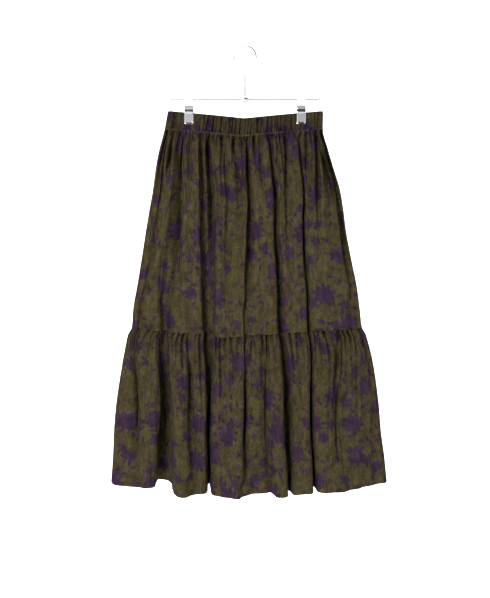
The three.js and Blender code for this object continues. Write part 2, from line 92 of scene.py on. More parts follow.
# Ridges and grooves of the front from left to right, in millimetres. The columns are each
# line's place at the five stations, its reach at the hip, seam, flare and hem, and how steeply
# the cloth rises to the right of a groove on the upper tier and on the ruffle, as a power past
# one.
FRONT_FOLDS = np.array([
    [-155, -192, -223, -248, -252, 14, 14, 20, 24, 0, 0],
    [-150, -181, -217, -221, -225, 8, 9, 8, 30, 0.8, 1.6],
    [-136, -164, -186, -193, -206, 26, 29, 42, 36, 0, 0],
    [-128, -151, -168, -171, -184, 18, 10, -4, -24, 0.2, 0.2],
    [-120, -131, -161, -161, -165, 12, 9, 2, -20, 1.6, 0.4],
    [-113, -121, -134, -136, -125, 34, 36, 66, 91, 0, 0],
    [-107, -106, -111, -115, -106, 32, 31, 48, 72, 0, 0],
    [-99, -98, -95, -93, -90, 32, 36, 60, 64, 0, 0],
    [-89, -89, -82, -75.8, -75.4, 3, 6, -2, -6, 1.6, 1.8],
    [-84, -84, -76, -75, -74.6, 4, 9, -2, -6, 0.6, 1.8],
    [-71, -66, -67, -74.2, -74, 8, 20, -2, -6, 0.8, 1.8],
    [-56, -54, -57, -56, -57, 34, 40, 56, 66, 0, 0],
    [-37, -39, -34, -32, -35, 26, 36, 58, 72, 0.6, 0.6],
    [-18, -14, -14, -16, -18, 36, 40, 58, 76, 0, 0],
    [4, 4, -1, -1, -2, 4, 28, 20, 58, 0.3, 2.0],
    [14, 26, 22, 18, 19, 34, 39, 52, 44, 0, 0],
    [24, 38, 38, 41, 52, 36, 35, 40, 36, 0.6, 0.6],
    [34, 46, 54, 65, 73, 34, 38, 58, 74, 0, 0],
    [48, 60, 70, 82, 90, 5, 8, 5, 30, 0.3, 0.1],
    [64, 76, 89, 103, 102, 32, 36, 48, 66, 0, 0],
    [82, 86, 101, 113, 113, 28, 36, 54, 66, 0.6, 0.6],
    [94, 104, 115, 122, 125, 32, 36, 56, 64, 0, 0],
    [106, 116, 128, 134, 143, 7, 11, 12, 14, 1.2, 1.6],
    [122, 134, 145, 150, 162, 30, 36, 54, 64, 0, 0],
    [139, 156, 187, 187, 192, 32, 29, 30, 64, 0, 1.2],
    [147, 176, 205, 218, 225, 30, 32, 50, 45, 0, 0],
    [150, 191, 224, 247, 256, 8, 22, 40, 26, 0.8, 0.8],
    [153, 198, 233, 266, 281, 14, 14, 26, 9, 0, 0],
], dtype=float) * FOLD_UNITS

# The same for the back, from left to right of someone who faces the back
BACK_FOLDS = np.array([
    [-150, -196, -228, -263, -280, 20, 22, 30, 28, 0, 0],
    [-141, -178, -206, -236, -250, 14, 17, 20, 34, 0.8, 1.2],
    [-128, -158, -186, -212, -222, 32, 38, 56, 72, 0, 0],
    [-112, -137, -160, -180, -186, 20, 22, 26, 40, 0.3, 0.6],
    [-98, -116, -136, -150, -150, 36, 42, 66, 92, 0, 0],
    [-84, -99, -112, -118, -121, 12, 16, 26, 40, 1.2, 1.6],
    [-68, -80, -90, -94, -96, 38, 44, 70, 88, 0, 0],
    [-50, -56, -62, -62, -60, 26, 36, 44, 60, 0.5, 0.3],
    [-36, -38, -40, -38, -34, 38, 44, 68, 90, 0, 0],
    [-22, -20, -18, -14, -12, 11, 16, 22, 38, 1.5, 1.8],
    [-6, 0, 6, 12, 18, 38, 44, 70, 96, 0, 0],
    [10, 20, 30, 40, 46, 22, 32, 46, 66, 0.2, 0.6],
    [26, 40, 54, 66, 76, 38, 46, 70, 90, 0, 0],
    [42, 60, 76, 92, 100, 11, 15, 20, 36, 1.0, 1.6],
    [58, 82, 100, 120, 130, 38, 44, 68, 94, 0, 0],
    [76, 104, 124, 144, 152, 24, 28, 40, 56, 0.6, 0.3],
    [94, 124, 148, 172, 182, 36, 40, 62, 80, 0, 0],
    [112, 146, 172, 198, 208, 13, 15, 22, 40, 0.6, 1.4],
    [130, 168, 196, 224, 234, 30, 34, 46, 56, 0, 0],
    [142, 180, 210, 240, 250, 16, 18, 22, 34, 0.8, 1.2],
    [153, 193, 225, 258, 268, 16, 17, 24, 26, 0, 0],
], dtype=float) * FOLD_UNITS


class Side(Enum):
    """The two halves of the skirt: 1 turns to the front, -1 to the back."""

    FRONT = 1
    BACK = -1


def smooth_curve(xs: np.ndarray, ys: np.ndarray, x: np.ndarray) -> np.ndarray:
    """Curve through points that never overshoots them.

    Each span is a cubic whose end slopes are the harmonic means of the rises on both sides,
    or nothing where the rise changes its sign.

    Args:
        xs: Places of the points, rising.
        ys: Values at the points, one row to a point.
        x: Places at which the curve is wanted.

    Returns:
        The values, one row to a place.
    """
    shape = (-1,) + (1,) * (ys.ndim - 1)
    width = np.diff(xs).reshape(shape)
    rise = np.diff(ys, axis=0) / width
    before, after = rise[:-1], rise[1:]
    total = np.where(before * after > 0, before + after, 1.0)
    inner = np.where(before * after > 0, 2 * before * after / total, 0.0)
    slopes = np.concatenate([rise[:1], inner, rise[-1:]])
    i = np.clip(np.searchsorted(xs, x) - 1, 0, len(xs) - 2)
    t = np.clip((x - xs[i]) / (xs[i + 1] - xs[i]), 0, 1).reshape(shape)
    start = (1 + 2 * t) * (1 - t) ** 2 * ys[i] + t * (1 - t) ** 2 * width[i] * slopes[i]
    end = t * t * (3 - 2 * t) * ys[i + 1] + t * t * (t - 1) * width[i] * slopes[i + 1]
    return start + end


def smooth_step(low: float, high: float, value: np.ndarray) -> np.ndarray:
    """Rises from 0 at low to 1 at high, level at both ends."""
    t = np.clip((value - low) / (high - low), 0, 1)
    return t * t * (3 - 2 * t)


def graded_rows(start: float, end: float, count: int, crowding: float, spread: float) -> np.ndarray:
    """Drops from start to end that stand closer at both ends.

    Rows are evenly spaced along the running sum of a density of 1, plus the crowding at the
    start and half of it at the end, both of which fade over the spread.

    Args:
        start: First drop.
        end: Last drop.
        count: Number of rows.
        crowding: How many times more rows stand at the start, past one.
        spread: Length over which the crowding fades.

    Returns:
        The drops.
    """
    fine = np.linspace(start, end, 4000)
    density = 1 + crowding * (np.exp((start - fine) / spread) + 0.5 * np.exp((fine - end) / spread))
    running = np.concatenate([[0.0], np.cumsum((density[1:] + density[:-1]) / 2)])
    return np.interp(np.linspace(0, running[-1], count), running, fine)


@dataclass(frozen=True)
class SkirtSizes:
    """Named sizes of the skirt's cut and of how it hangs, in metres."""

    waist_top: float = -0.125
    band_height: float = 0.036
    seam_drop: float = 0.438
    hem_drop: float = 0.768
    sag_depth: float = 0.014
    sag_power: float = 1.15
    band_reach: float = 0.012
    band_end_round: float = 0.012
    tier_inset: float = 0.0012
    clip_place: float = 0.112
    pinch_depth: float = 0.007
    pinch_flat: float = 0.010
    pinch_end: float = 0.036
    jaw_grip: float = 0.023
    pinch_fade: float = 0.110
    fold_onset_drop: float = 0.072
    fold_onset_share: float = 0.74
    falling_lean: float = 0.5
    rising_lean: float = 0.15
    lean_most: float = 1.1
    falling_squeeze: float = 2.2
    steep_rise: float = 0.015
    steep_change: float = 0.050
    side_edge: float = 0.000002

    def half_widths(self, drop: np.ndarray, side: Side) -> tuple[np.ndarray, np.ndarray]:
        """Half-widths to the left and right of someone who faces that side."""
        left, right = smooth_curve(SECTIONS[:, 0], SECTIONS[:, 1:3], drop).T
        return (left, right) if side is Side.FRONT else (right, left)

    def pinch(self, x: np.ndarray, drop: np.ndarray) -> np.ndarray:
        """How strongly the clips pinch the cloth at a place: 1 between their jaws."""
        across = 1 - smooth_step(self.pinch_flat, self.pinch_end, np.abs(np.abs(x) - self.clip_place))
        return across * (1 - smooth_step(self.jaw_grip, self.pinch_fade, drop))

    def height(self, drop: np.ndarray, waist_x: np.ndarray) -> np.ndarray:
        """Height of the cloth.

        It is the waist's height less the drop, less a shallow V between the two sides that is
        deepest at the apex.

        Args:
            drop: Drops, one to a row.
            waist_x: Places of the columns at the waist, in the part's frame.

        Returns:
            Heights, rows by columns.
        """
        share, apex = smooth_curve(SECTIONS[:, 0], SECTIONS[:, 3:5], drop).T
        left, right = self.half_widths(np.array([self.band_height]), Side.FRONT)
        from_apex = waist_x[None, :] - apex[:, None]
        half = np.where(from_apex < 0, left + apex[:, None], right - apex[:, None])
        nearness = np.maximum(0, 1 - np.abs(from_apex) / half)
        sag = self.sag_depth * nearness**self.sag_power * share[:, None]
        return self.waist_top - drop[:, None] - sag


@dataclass(frozen=True)
class FoldLines:
    """The ridges and grooves of one side of the skirt."""

    table: np.ndarray
    side: Side
    sizes: SkirtSizes

    def at(self, drop: np.ndarray) -> tuple[np.ndarray, np.ndarray]:
        """Places and reaches of the lines.

        A line keeps a smooth share of the skirt's width from station to station, and its
        reach is a smooth curve through the reaches at the stations.

        Args:
            drop: Drops, one to a row.

        Returns:
            Places and reaches, rows by lines.
        """
        sizes = self.sizes
        left, right = sizes.half_widths(STATION_DROPS, self.side)
        shares = (self.table[:, :5].T + left[:, None]) / (left + right)[:, None]
        hip = self.table[:, 5]
        waist = np.full_like(hip, sizes.band_reach - sizes.tier_inset)
        onset = waist + (hip - waist) * sizes.fold_onset_share
        reaches = np.stack([waist, onset, *self.table[:, 5:9].T])
        drops = np.array([STATION_DROPS[0], sizes.fold_onset_drop, *STATION_DROPS[1:]])
        left, right = sizes.half_widths(drop, self.side)
        share = smooth_curve(STATION_DROPS, shares, drop)
        return share * (left + right)[:, None] - left[:, None], smooth_curve(drops, reaches, drop)

    def steepness(self, drop: np.ndarray) -> np.ndarray:
        """How steeply the cloth rises to the right of each line.

        The upper tier's steepness passes into the ruffle's as a smooth step just below the
        tiers' seam.

        Args:
            drop: Drops, one to a row.

        Returns:
            Powers past one, rows by lines.
        """
        sizes = self.sizes
        share = smooth_step(sizes.seam_drop, sizes.seam_drop + sizes.steep_change, drop)[:, None]
        return self.table[:, 9] * (1 - share) + self.table[:, 10] * share

    def column_counts(self, stations: Sequence[int], total: int) -> np.ndarray:
        """Even numbers of columns between the lines, in proportion to the cloth there.

        Args:
            stations: Stations at which the cloth is measured.
            total: Number of columns in all.

        Returns:
            The numbers, one more than there are lines.
        """
        drop = STATION_DROPS[list(stations)]
        left, right = self.sizes.half_widths(drop, self.side)
        x, reach = self.at(drop)
        x = np.column_stack([-left, x, right])
        reach = np.pad(reach, ((0, 0), (1, 1)))
        lengths = np.hypot(np.diff(x), np.diff(reach)).sum(axis=0)
        counts = 2 * np.maximum(1, np.floor(total * lengths / lengths.sum() / 2 + 0.5)).astype(int)
        spare = total - counts.sum()
        longest = np.argsort(-lengths, kind="stable")[: abs(spare) // 2]
        counts[longest] += 2 * int(np.sign(spare))
        return counts


@dataclass(frozen=True)
class PlanGrid:
    """Columns of a panel: each one's place, counted in the coarse columns of the fold lines."""

    counts: np.ndarray
    places: np.ndarray

    @classmethod
    def plain(cls, counts: np.ndarray, refine: int) -> "PlanGrid":
        """Grid with the same number of fine columns in every coarse one."""
        return cls(counts, np.arange(int(counts.sum()) * refine + 1) / refine)

    def evened(self, plans: Sequence[tuple[np.ndarray, np.ndarray]]) -> "PlanGrid":
        """Grid with as many columns, evenly spaced along the mean of some rows' lengths.

        Args:
            plans: Places and reaches of this grid's rows.

        Returns:
            The new grid.
        """
        share = sum(length_along(x[0], reach[0]) for x, reach in plans) / len(plans)
        return PlanGrid(self.counts, np.interp(np.linspace(0, 1, len(self.places)), share, self.places))

    def curve(
        self, knots: tuple[np.ndarray, np.ndarray], ends: tuple[np.ndarray, np.ndarray], sharp: np.ndarray,
        sizes: SkirtSizes,
    ) -> tuple[np.ndarray, np.ndarray]:
        """Plan of the cloth at each row.

        Between two lines the reach is a cubic that is level on ridges and in grooves, and the
        place runs evenly but for a sine that makes steep folds lean over and a power that
        keeps the falling side of a groove close to it. The two ends round away to the side
        seams as quarter ellipses.

        Args:
            knots: Places and reaches of the lines, rows by lines.
            ends: Half-widths to the left and right, one to a row.
            sharp: How steeply the cloth rises to the right of each line that is a groove,
                rows by lines.
            sizes: The skirt's sizes.

        Returns:
            Places and reaches, rows by columns.
        """
        starts = np.concatenate([[0], np.cumsum(self.counts)])
        place = self.places
        last = len(self.counts) - 1
        span = np.clip(np.searchsorted(starts, place) - 1, 0, last)
        t = (place - starts[span]) / self.counts[span]
        x = np.column_stack([-ends[0], knots[0], ends[1]])
        reach = np.pad(knots[1], ((0, 0), (1, 1)), constant_values=sizes.side_edge)
        rises = np.diff(reach)
        before, after = rises[:, :-1], rises[:, 1:]
        passing = before * after > 0
        slopes = np.where(passing, 2 * before * after / np.where(passing, before + after, 1.0), 0.0)
        slopes = np.pad(slopes, ((0, 0), (1, 1)))
        falls, climbs = np.maximum(-before, 0) + sizes.side_edge, np.maximum(after, 0) + sizes.side_edge
        into = np.pad(smooth_step(-0.25, 0, after / falls), ((0, 0), (1, 1)))
        out_of = np.pad(smooth_step(-0.25, 0, -before / climbs), ((0, 0), (1, 1)))
        from_x, dx = x[:, span], np.diff(x)[:, span]
        from_reach, rise = reach[:, span], rises[:, span]
        rising = rise > 0
        leaning = np.where(rising, sizes.rising_lean, sizes.falling_lean)
        lean = np.minimum(sizes.lean_most, leaning * np.abs(rise) / np.abs(dx))
        along = t + lean * np.sin(2 * np.pi * t) / (2 * np.pi)
        from_groove = np.maximum(np.where(rising, along, 1 - along), 0)
        steepness = (out_of * np.pad(sharp, ((0, 0), (1, 1))))[:, span]
        squeeze = np.where(rising, steepness, sizes.falling_squeeze * into[:, span + 1])
        from_groove = from_groove ** (1 + squeeze * smooth_step(0, sizes.steep_rise, np.abs(rise)))
        along = np.where(rising, from_groove, 1 - from_groove)
        across = (t * t * (3 - 2 * t) * rise + t * (1 - t) ** 2 * slopes[:, span]
                  - t * t * (1 - t) * slopes[:, span + 1])
        quarter = np.pi / 2 * t
        along = np.where(span == 0, 1 - np.cos(quarter), np.where(span == last, np.sin(quarter), along))
        across = np.where(span == 0, np.sin(quarter) * rise, across)
        across = np.where(span == last, (1 - np.cos(quarter)) * rise, across)
        return from_x + dx * along, from_reach + across

    def near_side_seam(self, columns: float) -> np.ndarray:
        """Rises from 0 at the side seams to 1 that many coarse columns in."""
        place = self.places
        return smooth_step(0, 1, np.minimum(place, place[-1] - place) / columns)


def length_along(x: np.ndarray, reach: np.ndarray) -> np.ndarray:
    """Share of a plan curve's length that lies before each of its points."""
    running = np.concatenate([[0.0], np.cumsum(np.hypot(np.diff(x), np.diff(reach)))])
    return running / running[-1]


def plan_normals(x: np.ndarray, reach: np.ndarray) -> tuple[np.ndarray, np.ndarray]:
    """Outward directions of a plan curve, square to its run, and sideways at its two ends.

    Args:
        x: Places, rows by columns.
        reach: Reaches, rows by columns.

    Returns:
        The directions' shares along the places and along the reaches, rows by columns.
    """
    run, rise = np.gradient(x, axis=1), np.gradient(reach, axis=1)
    length = np.hypot(run, rise)
    out_x, out_reach = -rise / length, run / length
    out_x[:, 0], out_x[:, -1] = -1, 1
    out_reach[:, [0, -1]] = 0
    return out_x, out_reach


@dataclass(frozen=True)
class Gathers:
    """Uneven gathers that start at a seam and fade down the cloth.

    The depth, length and half-width are those of the strongest gather, the last as a share
    of the pitch. Many is how many of them there are to a main gather.
    """

    seam_drop: float
    depth: float
    length: float
    half_width: float
    seed: float
    many: int = 1
    onset: float = 0.001

    def chance(self, number: np.ndarray, turn: float) -> np.ndarray:
        """Uneven share from 0 to 1 for each gather: what is left of a sine times a large number."""
        wave = np.sin(number * 12.9898 + turn * 78.233 + self.seed) * 43758.5453
        return wave - np.floor(wave)

    def displacement(self, place: np.ndarray, drop: np.ndarray) -> np.ndarray:
        """How far the cloth stands back.

        Each gather is a narrow pinched trough. Its depth, length, width, place and slant are
        its own.

        Args:
            place: Places along the seam, counted in main gathers.
            drop: Drops, one to a row.

        Returns:
            Distances against the cloth's normal, rows by columns.
        """
        place = place * self.many
        below = np.maximum(0, drop - self.seam_drop)[:, None]
        total = np.zeros((len(drop), len(place)))
        for neighbour in (-1, 0, 1):
            number = np.round(place) + neighbour
            depth = self.depth * (0.45 + 0.55 * self.chance(number, 1))
            length = self.length * (0.2 + 0.8 * self.chance(number, 2) ** 1.6)
            width = self.half_width * (0.6 + 0.4 * self.chance(number, 3))
            middle = number + 0.7 * (self.chance(number, 4) - 0.5)
            slant = 0.8 * (self.chance(number, 5) - 0.5) * np.minimum(below / 0.06, 1.5)
            widening = width * (1 + 0.4 * np.minimum(below / length, 2))
            trough = pinched((place - middle - slant) / widening)
            total += depth * trough * np.exp(-((below / length) ** 1.4))
        return total * (1 - np.exp(-below / self.onset))


# Soft creases, in millimetres, as seen facing each side: place and drop of the
# upper end, place and drop of the lower end, how far the line bows to the right, depth, and
# half-widths to the left and right of the line.
FRONT_CREASES = np.array([
    [-154, 38, -176, 190, -2, 12, 6, 4],
    [-130, 38, -172, 185, -5, 12, 9, 4],
    [-122, 38, -128, 260, 1, 16, 12, 3],
    [-129, 130, -131, 436, 0, 13, 20, 3],
    [-108, 38, -115, 200, 0, 6, 6.5, 5],
    [-100, 38, -100, 90, 0, 4.5, 4, 4],
    [-143, 38, -158, 170, -2, 16, 6, 4],
    [-161, 100, -180, 310, 0, 10, 7, 6],
    [-111, 38, -114, 270, 0, 8, 10, 6],
    [-101, 60, -103, 240, 0, 5, 5, 7],
    [-74, 38, -73, 170, 0, 15, 4, 4],
    [-68, 60, -63, 320, 0, 17, 6, 3.5],
    [-167, 270, -169, 438, -2, 9, 4.5, 9],
    [-77, 50, -75, 340, 0, -10, 5, 5],
    [-55, 38, -58, 140, 0, 7, 5, 4],
    [-46, 38, -46, 100, 0, 4.5, 4, 4],
    [-36, 50, -37, 320, 0, 13, 10, 7],
    [-24, 38, -26, 110, 0, 5, 4, 4],
    [-3, 38, 1, 130, 0, 6, 4, 4],
    [17, 38, 15, 110, 0, 5.5, 4, 4],
    [28, 38, 36, 240, 0, 4, 6.5, 5],
    [63, 38, 64, 215, 0, 12, 4, 3.5],
    [84, 38, 82, 190, -1, 15, 4.5, 4.5],
    [82, 120, 84, 300, 0, 10, 7, 9],
    [96, 38, 98, 90, 0, 4.5, 4, 4],
    [129, 38, 131, 150, 0, 17, 4.5, 4],
    [141, 36, 147, 240, 1, 30, 4.5, 4.5],
    [148, 36, 199, 270, 5, 22, 5, 6],
    [157, 50, 186, 170, 2, 6, 4, 4],
    [190, 190, 214, 340, 1, 11, 5, 8],
    [-217, 441, -221, 660, -2, 10, 4.5, 6],
    [-200, 441, -206, 520, 0, 5, 5, 5],
    [-196, 470, -208, 660, 0, 4.5, 8, 10.5],
    [-163, 441, -184, 800, 3, 14, 6.5, 17],
    [-156, 441, -158, 510, 0, 6, 4, 4],
    [-138, 441, -140, 530, 0, 5, 5, 5],
    [-106, 441, -118, 610, -2, 11, 5, 9],
    [-118, 490, -100, 800, 2, 14, 8, 10.5],
    [-86, 441, -85, 540, 0, 6, 4.5, 4.5],
    [-48, 441, -46, 550, 0, 6, 5, 5],
    [-25, 560, -27, 760, 0, 4, 10.5, 10.5],
    [-17, 441, -16, 560, 0, 5.5, 4.5, 6.5],
    [14, 441, 12, 530, 0, 6, 4, 5],
    [35, 441, 41, 570, -2, 10, 4.5, 8],
    [37, 500, 43, 740, 0, 7, 9, 9],
    [62, 441, 66, 540, 0, 6, 4.5, 4],
    [104, 441, 110, 620, 0, 5.5, 6.5, 6.5],
    [156, 441, 162, 560, 0, 6, 5, 5],
    [193, 436, 187, 610, -4, 22, 4.5, 9],
    [186, 530, 209, 760, -2, 14, 4.5, 14],
    [214, 441, 230, 640, 2, 5.5, 6.5, 9],
    [236, 470, 252, 700, 2, 5, 8, 10.5],
])
BACK_CREASES = np.array([
    [-134, 38, -150, 170, -3, 6, 8, 4],
    [-120, 38, -126, 110, 0, 5, 4, 4],
    [-90, 38, -98, 240, 0, 7.5, 14.5, 4],
    [-58, 38, -62, 130, 0, 6, 4, 4],
    [-44, 38, -48, 260, 0, 5.5, 10.5, 6.5],
    [-32, 38, -30, 100, 0, 5, 4, 4],
    [-10, 38, -8, 170, 1, 7, 4, 5],
    [20, 38, 24, 120, 0, 5.5, 4, 4],
    [34, 38, 46, 240, 0, 6, 5, 11.5],
    [70, 38, 78, 130, 0, 5.5, 4, 4],
    [84, 40, 110, 250, 2, 7.5, 4, 13],
    [104, 38, 112, 130, 0, 5.5, 4, 4],
    [120, 60, 150, 280, 2, 5.5, 6.5, 10.5],
    [144, 38, 168, 170, 3, 7, 4, 5],
    [-212, 441, -226, 620, -2, 7.5, 5, 8],
    [-190, 441, -200, 570, 0, 6, 6.5, 5],
    [-140, 441, -144, 530, 0, 5.5, 5, 5],
    [-96, 441, -98, 640, 2, 8, 11.5, 5],
    [-52, 441, -54, 530, 0, 6, 4.5, 5],
    [-28, 441, -26, 680, 0, 5.5, 9, 9],
    [22, 441, 26, 540, 0, 6, 5, 4.5],
    [44, 441, 52, 640, -2, 8, 5, 13],
    [110, 441, 120, 550, 0, 6, 5, 5],
    [150, 441, 158, 680, 3, 6, 10.5, 6.5],
    [180, 441, 200, 620, 0, 6, 5, 8],
    [222, 441, 238, 600, 2, 5.5, 5, 6.5],
])

# Soft wrinkles that cross the cloth everywhere: length across, length down, height, phase
WRINKLES = np.array([
    [61, 213, 0.55, 0.4],
    [38, -157, 0.40, 1.9],
    [93, 88, 0.35, 3.1],
    [27, 121, 0.22, 4.6],
    [19, -71, 0.12, 0.9],
])


def pinched(off: np.ndarray) -> np.ndarray:
    """Depth across a crease: the exponential of less the distance to the power of 1.5."""
    return np.exp(-np.abs(off) ** 1.5)


def creases(table: np.ndarray, x: np.ndarray, drop: np.ndarray) -> np.ndarray:
    """Depth of the listed creases.

    Each is a pinched trough, wider on one side than on the other, across a line that bows as
    a parabola from its upper to its lower end. It is deepest a third of the way down.

    Args:
        table: Rows of ends, bows, depths and half-widths, in millimetres.
        x: Places, rows by columns, in metres.
        drop: Drops, one to a row, in metres.

    Returns:
        Distances inwards, rows by columns, in metres.
    """
    top_x, top, end_x, end, bow, depth, left, right = (table * MM).T[:, :, None, None]
    down = np.clip((drop[None, :, None] - top) / (end - top), 0, 1)
    off = x[None] - (top_x + (end_x - top_x) * down + 4 * bow * down * (1 - down))
    strength = np.sin(np.pi * down**0.65) ** 1.2
    return (depth * strength * pinched(off / np.where(off < 0, left, right))).sum(axis=0)


def wrinkles(across: np.ndarray, drop: np.ndarray, seed: float) -> np.ndarray:
    """Soft wrinkles: a sum of slanted sines over the flat cloth, each bent by a slower one.

    Args:
        across: Places along the flat cloth, one to a column.
        drop: Drops, one to a row.
        seed: Shifts the sines, so that two panels differ.

    Returns:
        Distances outwards, rows by columns.
    """
    width, length, height, phase = WRINKLES.T[:, :, None, None]
    u, v = across[None, None, :] / MM, drop[None, :, None] / MM
    bend = 0.9 * np.sin(2 * np.pi * v / 170 + phase + seed)
    wave = np.sin(2 * np.pi * (u / width + v / length) + phase * seed + bend)
    return (height * MM * wave).sum(axis=0)


def add_mesh(
    name: str, vertices: np.ndarray, faces: Sequence[np.ndarray], uv: Union[np.ndarray, None] = None,
) -> bpy.types.Object:
    """Makes an object from whole arrays.

    Args:
        name: Name of the object.
        vertices: Points, one to a row.
        faces: Arrays of point numbers, each with one face to a row.
        uv: Place on the flat cloth of each point, if it has one.

    Returns:
        The object, smooth and linked to the scene.
    """
    loops = np.concatenate([block.ravel() for block in faces]).astype(np.int32)
    sizes = np.concatenate([np.full(len(block), block.shape[1]) for block in faces])
    starts = np.concatenate([[0], np.cumsum(sizes)[:-1]]).astype(np.int32)
    mesh = bpy.data.meshes.new(name)
    mesh.vertices.add(len(vertices))
    mesh.vertices.foreach_set("co", vertices.astype(np.float32).ravel())
    mesh.loops.add(len(loops))
    mesh.loops.foreach_set("vertex_index", loops)
    mesh.polygons.add(len(starts))
    mesh.polygons.foreach_set("loop_start", starts)
    mesh.polygons.foreach_set("use_smooth", np.ones(len(starts), dtype=bool))
    mesh.update(calc_edges=True)
    if uv is not None:
        layer = mesh.uv_layers.new(name=CLOTH_UV)
        layer.uv.foreach_set("vector", uv[loops].astype(np.float32).ravel())
    made = bpy.data.objects.new(name, mesh)
    bpy.context.scene.collection.objects.link(made)
    return made


def quads(a: np.ndarray, b: np.ndarray, c: np.ndarray, d: np.ndarray) -> np.ndarray:
    """Four-sided faces from four arrays of corners."""
    return np.stack([a.ravel(), b.ravel(), c.ravel(), d.ravel()], axis=1)


def closed_wall(name: str, outer: np.ndarray, inner: np.ndarray, uv: np.ndarray) -> bpy.types.Object:
    """Cloth wall between two surfaces, closed along its four edges.

    Args:
        name: Name of the object.
        outer: Outer points, rows by columns by three.
        inner: Inner points, the same.
        uv: Place on the flat cloth of each point, rows by columns by two.

    Returns:
        The object.
    """
    rows, across = outer.shape[:2]
    o = np.arange(rows * across).reshape(rows, across)
    n = o + rows * across
    faces = [
        quads(o[:-1, :-1], o[1:, :-1], o[1:, 1:], o[:-1, 1:]),
        quads(n[:-1, :-1], n[:-1, 1:], n[1:, 1:], n[1:, :-1]),
        quads(n[:-1, 0], n[1:, 0], o[1:, 0], o[:-1, 0]),
        quads(o[:-1, -1], o[1:, -1], n[1:, -1], n[:-1, -1]),
        quads(n[0, :-1], o[0, :-1], o[0, 1:], n[0, 1:]),
        quads(o[-1, :-1], n[-1, :-1], n[-1, 1:], o[-1, 1:]),
    ]
    points = np.concatenate([outer.reshape(-1, 3), inner.reshape(-1, 3)])
    flat = uv.reshape(-1, 2)
    return add_mesh(name, points, faces, np.concatenate([flat, flat]))


def ring_solid(name: str, *runs: tuple[np.ndarray, bool]) -> bpy.types.Object:
    """Solid from rings of points, each run joined ring to ring.

    Args:
        name: Name of the object.
        runs: Arrays of rings, rings by points by three, each with whether its last ring joins
            its first. A run that doesn't close is capped at both ends.

    Returns:
        The object, with its faces outwards and its edges over 40 degrees sharp.
    """
    points, faces, used = [], [], 0
    for rings, closes in runs:
        count, around = rings.shape[:2]
        g = used + np.arange(count * around).reshape(count, around)
        after = np.roll(g, -1, axis=1)
        faces.append(quads(g[:-1], after[:-1], after[1:], g[1:]))
        if closes:
            faces.append(quads(g[-1], after[-1], after[0], g[0]))
        else:
            faces += [g[:1, ::-1], g[-1:]]
        points.append(rings.reshape(-1, 3))
        used += count * around
    made = add_mesh(name, np.concatenate(points), faces)
    work = bmesh.new()
    work.from_mesh(made.data)
    bmesh.ops.recalc_face_normals(work, faces=work.faces)
    work.to_mesh(made.data)
    work.free()
    made.data.set_sharp_from_angle(angle=math.radians(40))
    return made


def rounded_box_ring(half_width: float, half_depth: float, corner: float, per_corner: int = 5) -> np.ndarray:
    """Outline of a rectangle with round corners: four quarter circles joined by straight sides.

    Args:
        half_width: Half of its width.
        half_depth: Half of its depth.
        corner: Radius of the corners.
        per_corner: Number of points to a corner.

    Returns:
        Points, across and deep.
    """
    turn = np.linspace(0, np.pi / 2, per_corner)
    angle = np.concatenate([turn + k * np.pi / 2 for k in range(4)])
    sign_x = np.repeat([1, -1, -1, 1], per_corner)
    sign_y = np.repeat([1, 1, -1, -1], per_corner)
    x = sign_x * (half_width - corner) + corner * np.cos(angle)
    y = sign_y * (half_depth - corner) + corner * np.sin(angle)
    return np.stack([x, y], axis=1)


def linear(colour: str) -> tuple[float, float, float, float]:
    """Linear colour of an sRGB hex value: a power of 2.4 over an offset, or a straight foot.

    Args:
        colour: Hex value with its hash sign.

    Returns:
        Red, green, blue and full cover.
    """
    parts = [int(colour[i : i + 2], 16) / 255 for i in (1, 3, 5)]
    red, green, blue = (p / 12.92 if p <= 0.04045 else ((p + 0.055) / 1.055) ** 2.4 for p in parts)
    return red, green, blue, 1.0


class ShaderNet:
    """Nodes of one material or world."""

    def __init__(self, owner: Union[bpy.types.Material, bpy.types.World]) -> None:
        """Empties the nodes.

        Args:
            owner: The material or world.
        """
        owner.use_nodes = True
        self.owner = owner
        self.tree = owner.node_tree
        self.tree.nodes.clear()

    def add(
        self, kind: str, *inputs: Feed, named: Union[dict[Union[str, int], Feed], None] = None,
        **settings: object,
    ) -> bpy.types.Node:
        """Adds a node.

        Args:
            kind: Blender's name of the node, without its first word.
            inputs: What goes into the first sockets, in order.
            named: What goes into other sockets, by name or number.
            settings: The node's own settings.

        Returns:
            The node.
        """
        node = self.tree.nodes.new(f"ShaderNode{kind}")
        for setting, value in settings.items():
            setattr(node, setting, value)
        for key, feed in [*enumerate(inputs), *(named or {}).items()]:
            if isinstance(feed, bpy.types.Node):
                feed = feed.outputs[0]
            if isinstance(feed, bpy.types.NodeSocket):
                self.tree.links.new(feed, node.inputs[key])
            else:
                node.inputs[key].default_value = feed
        return node


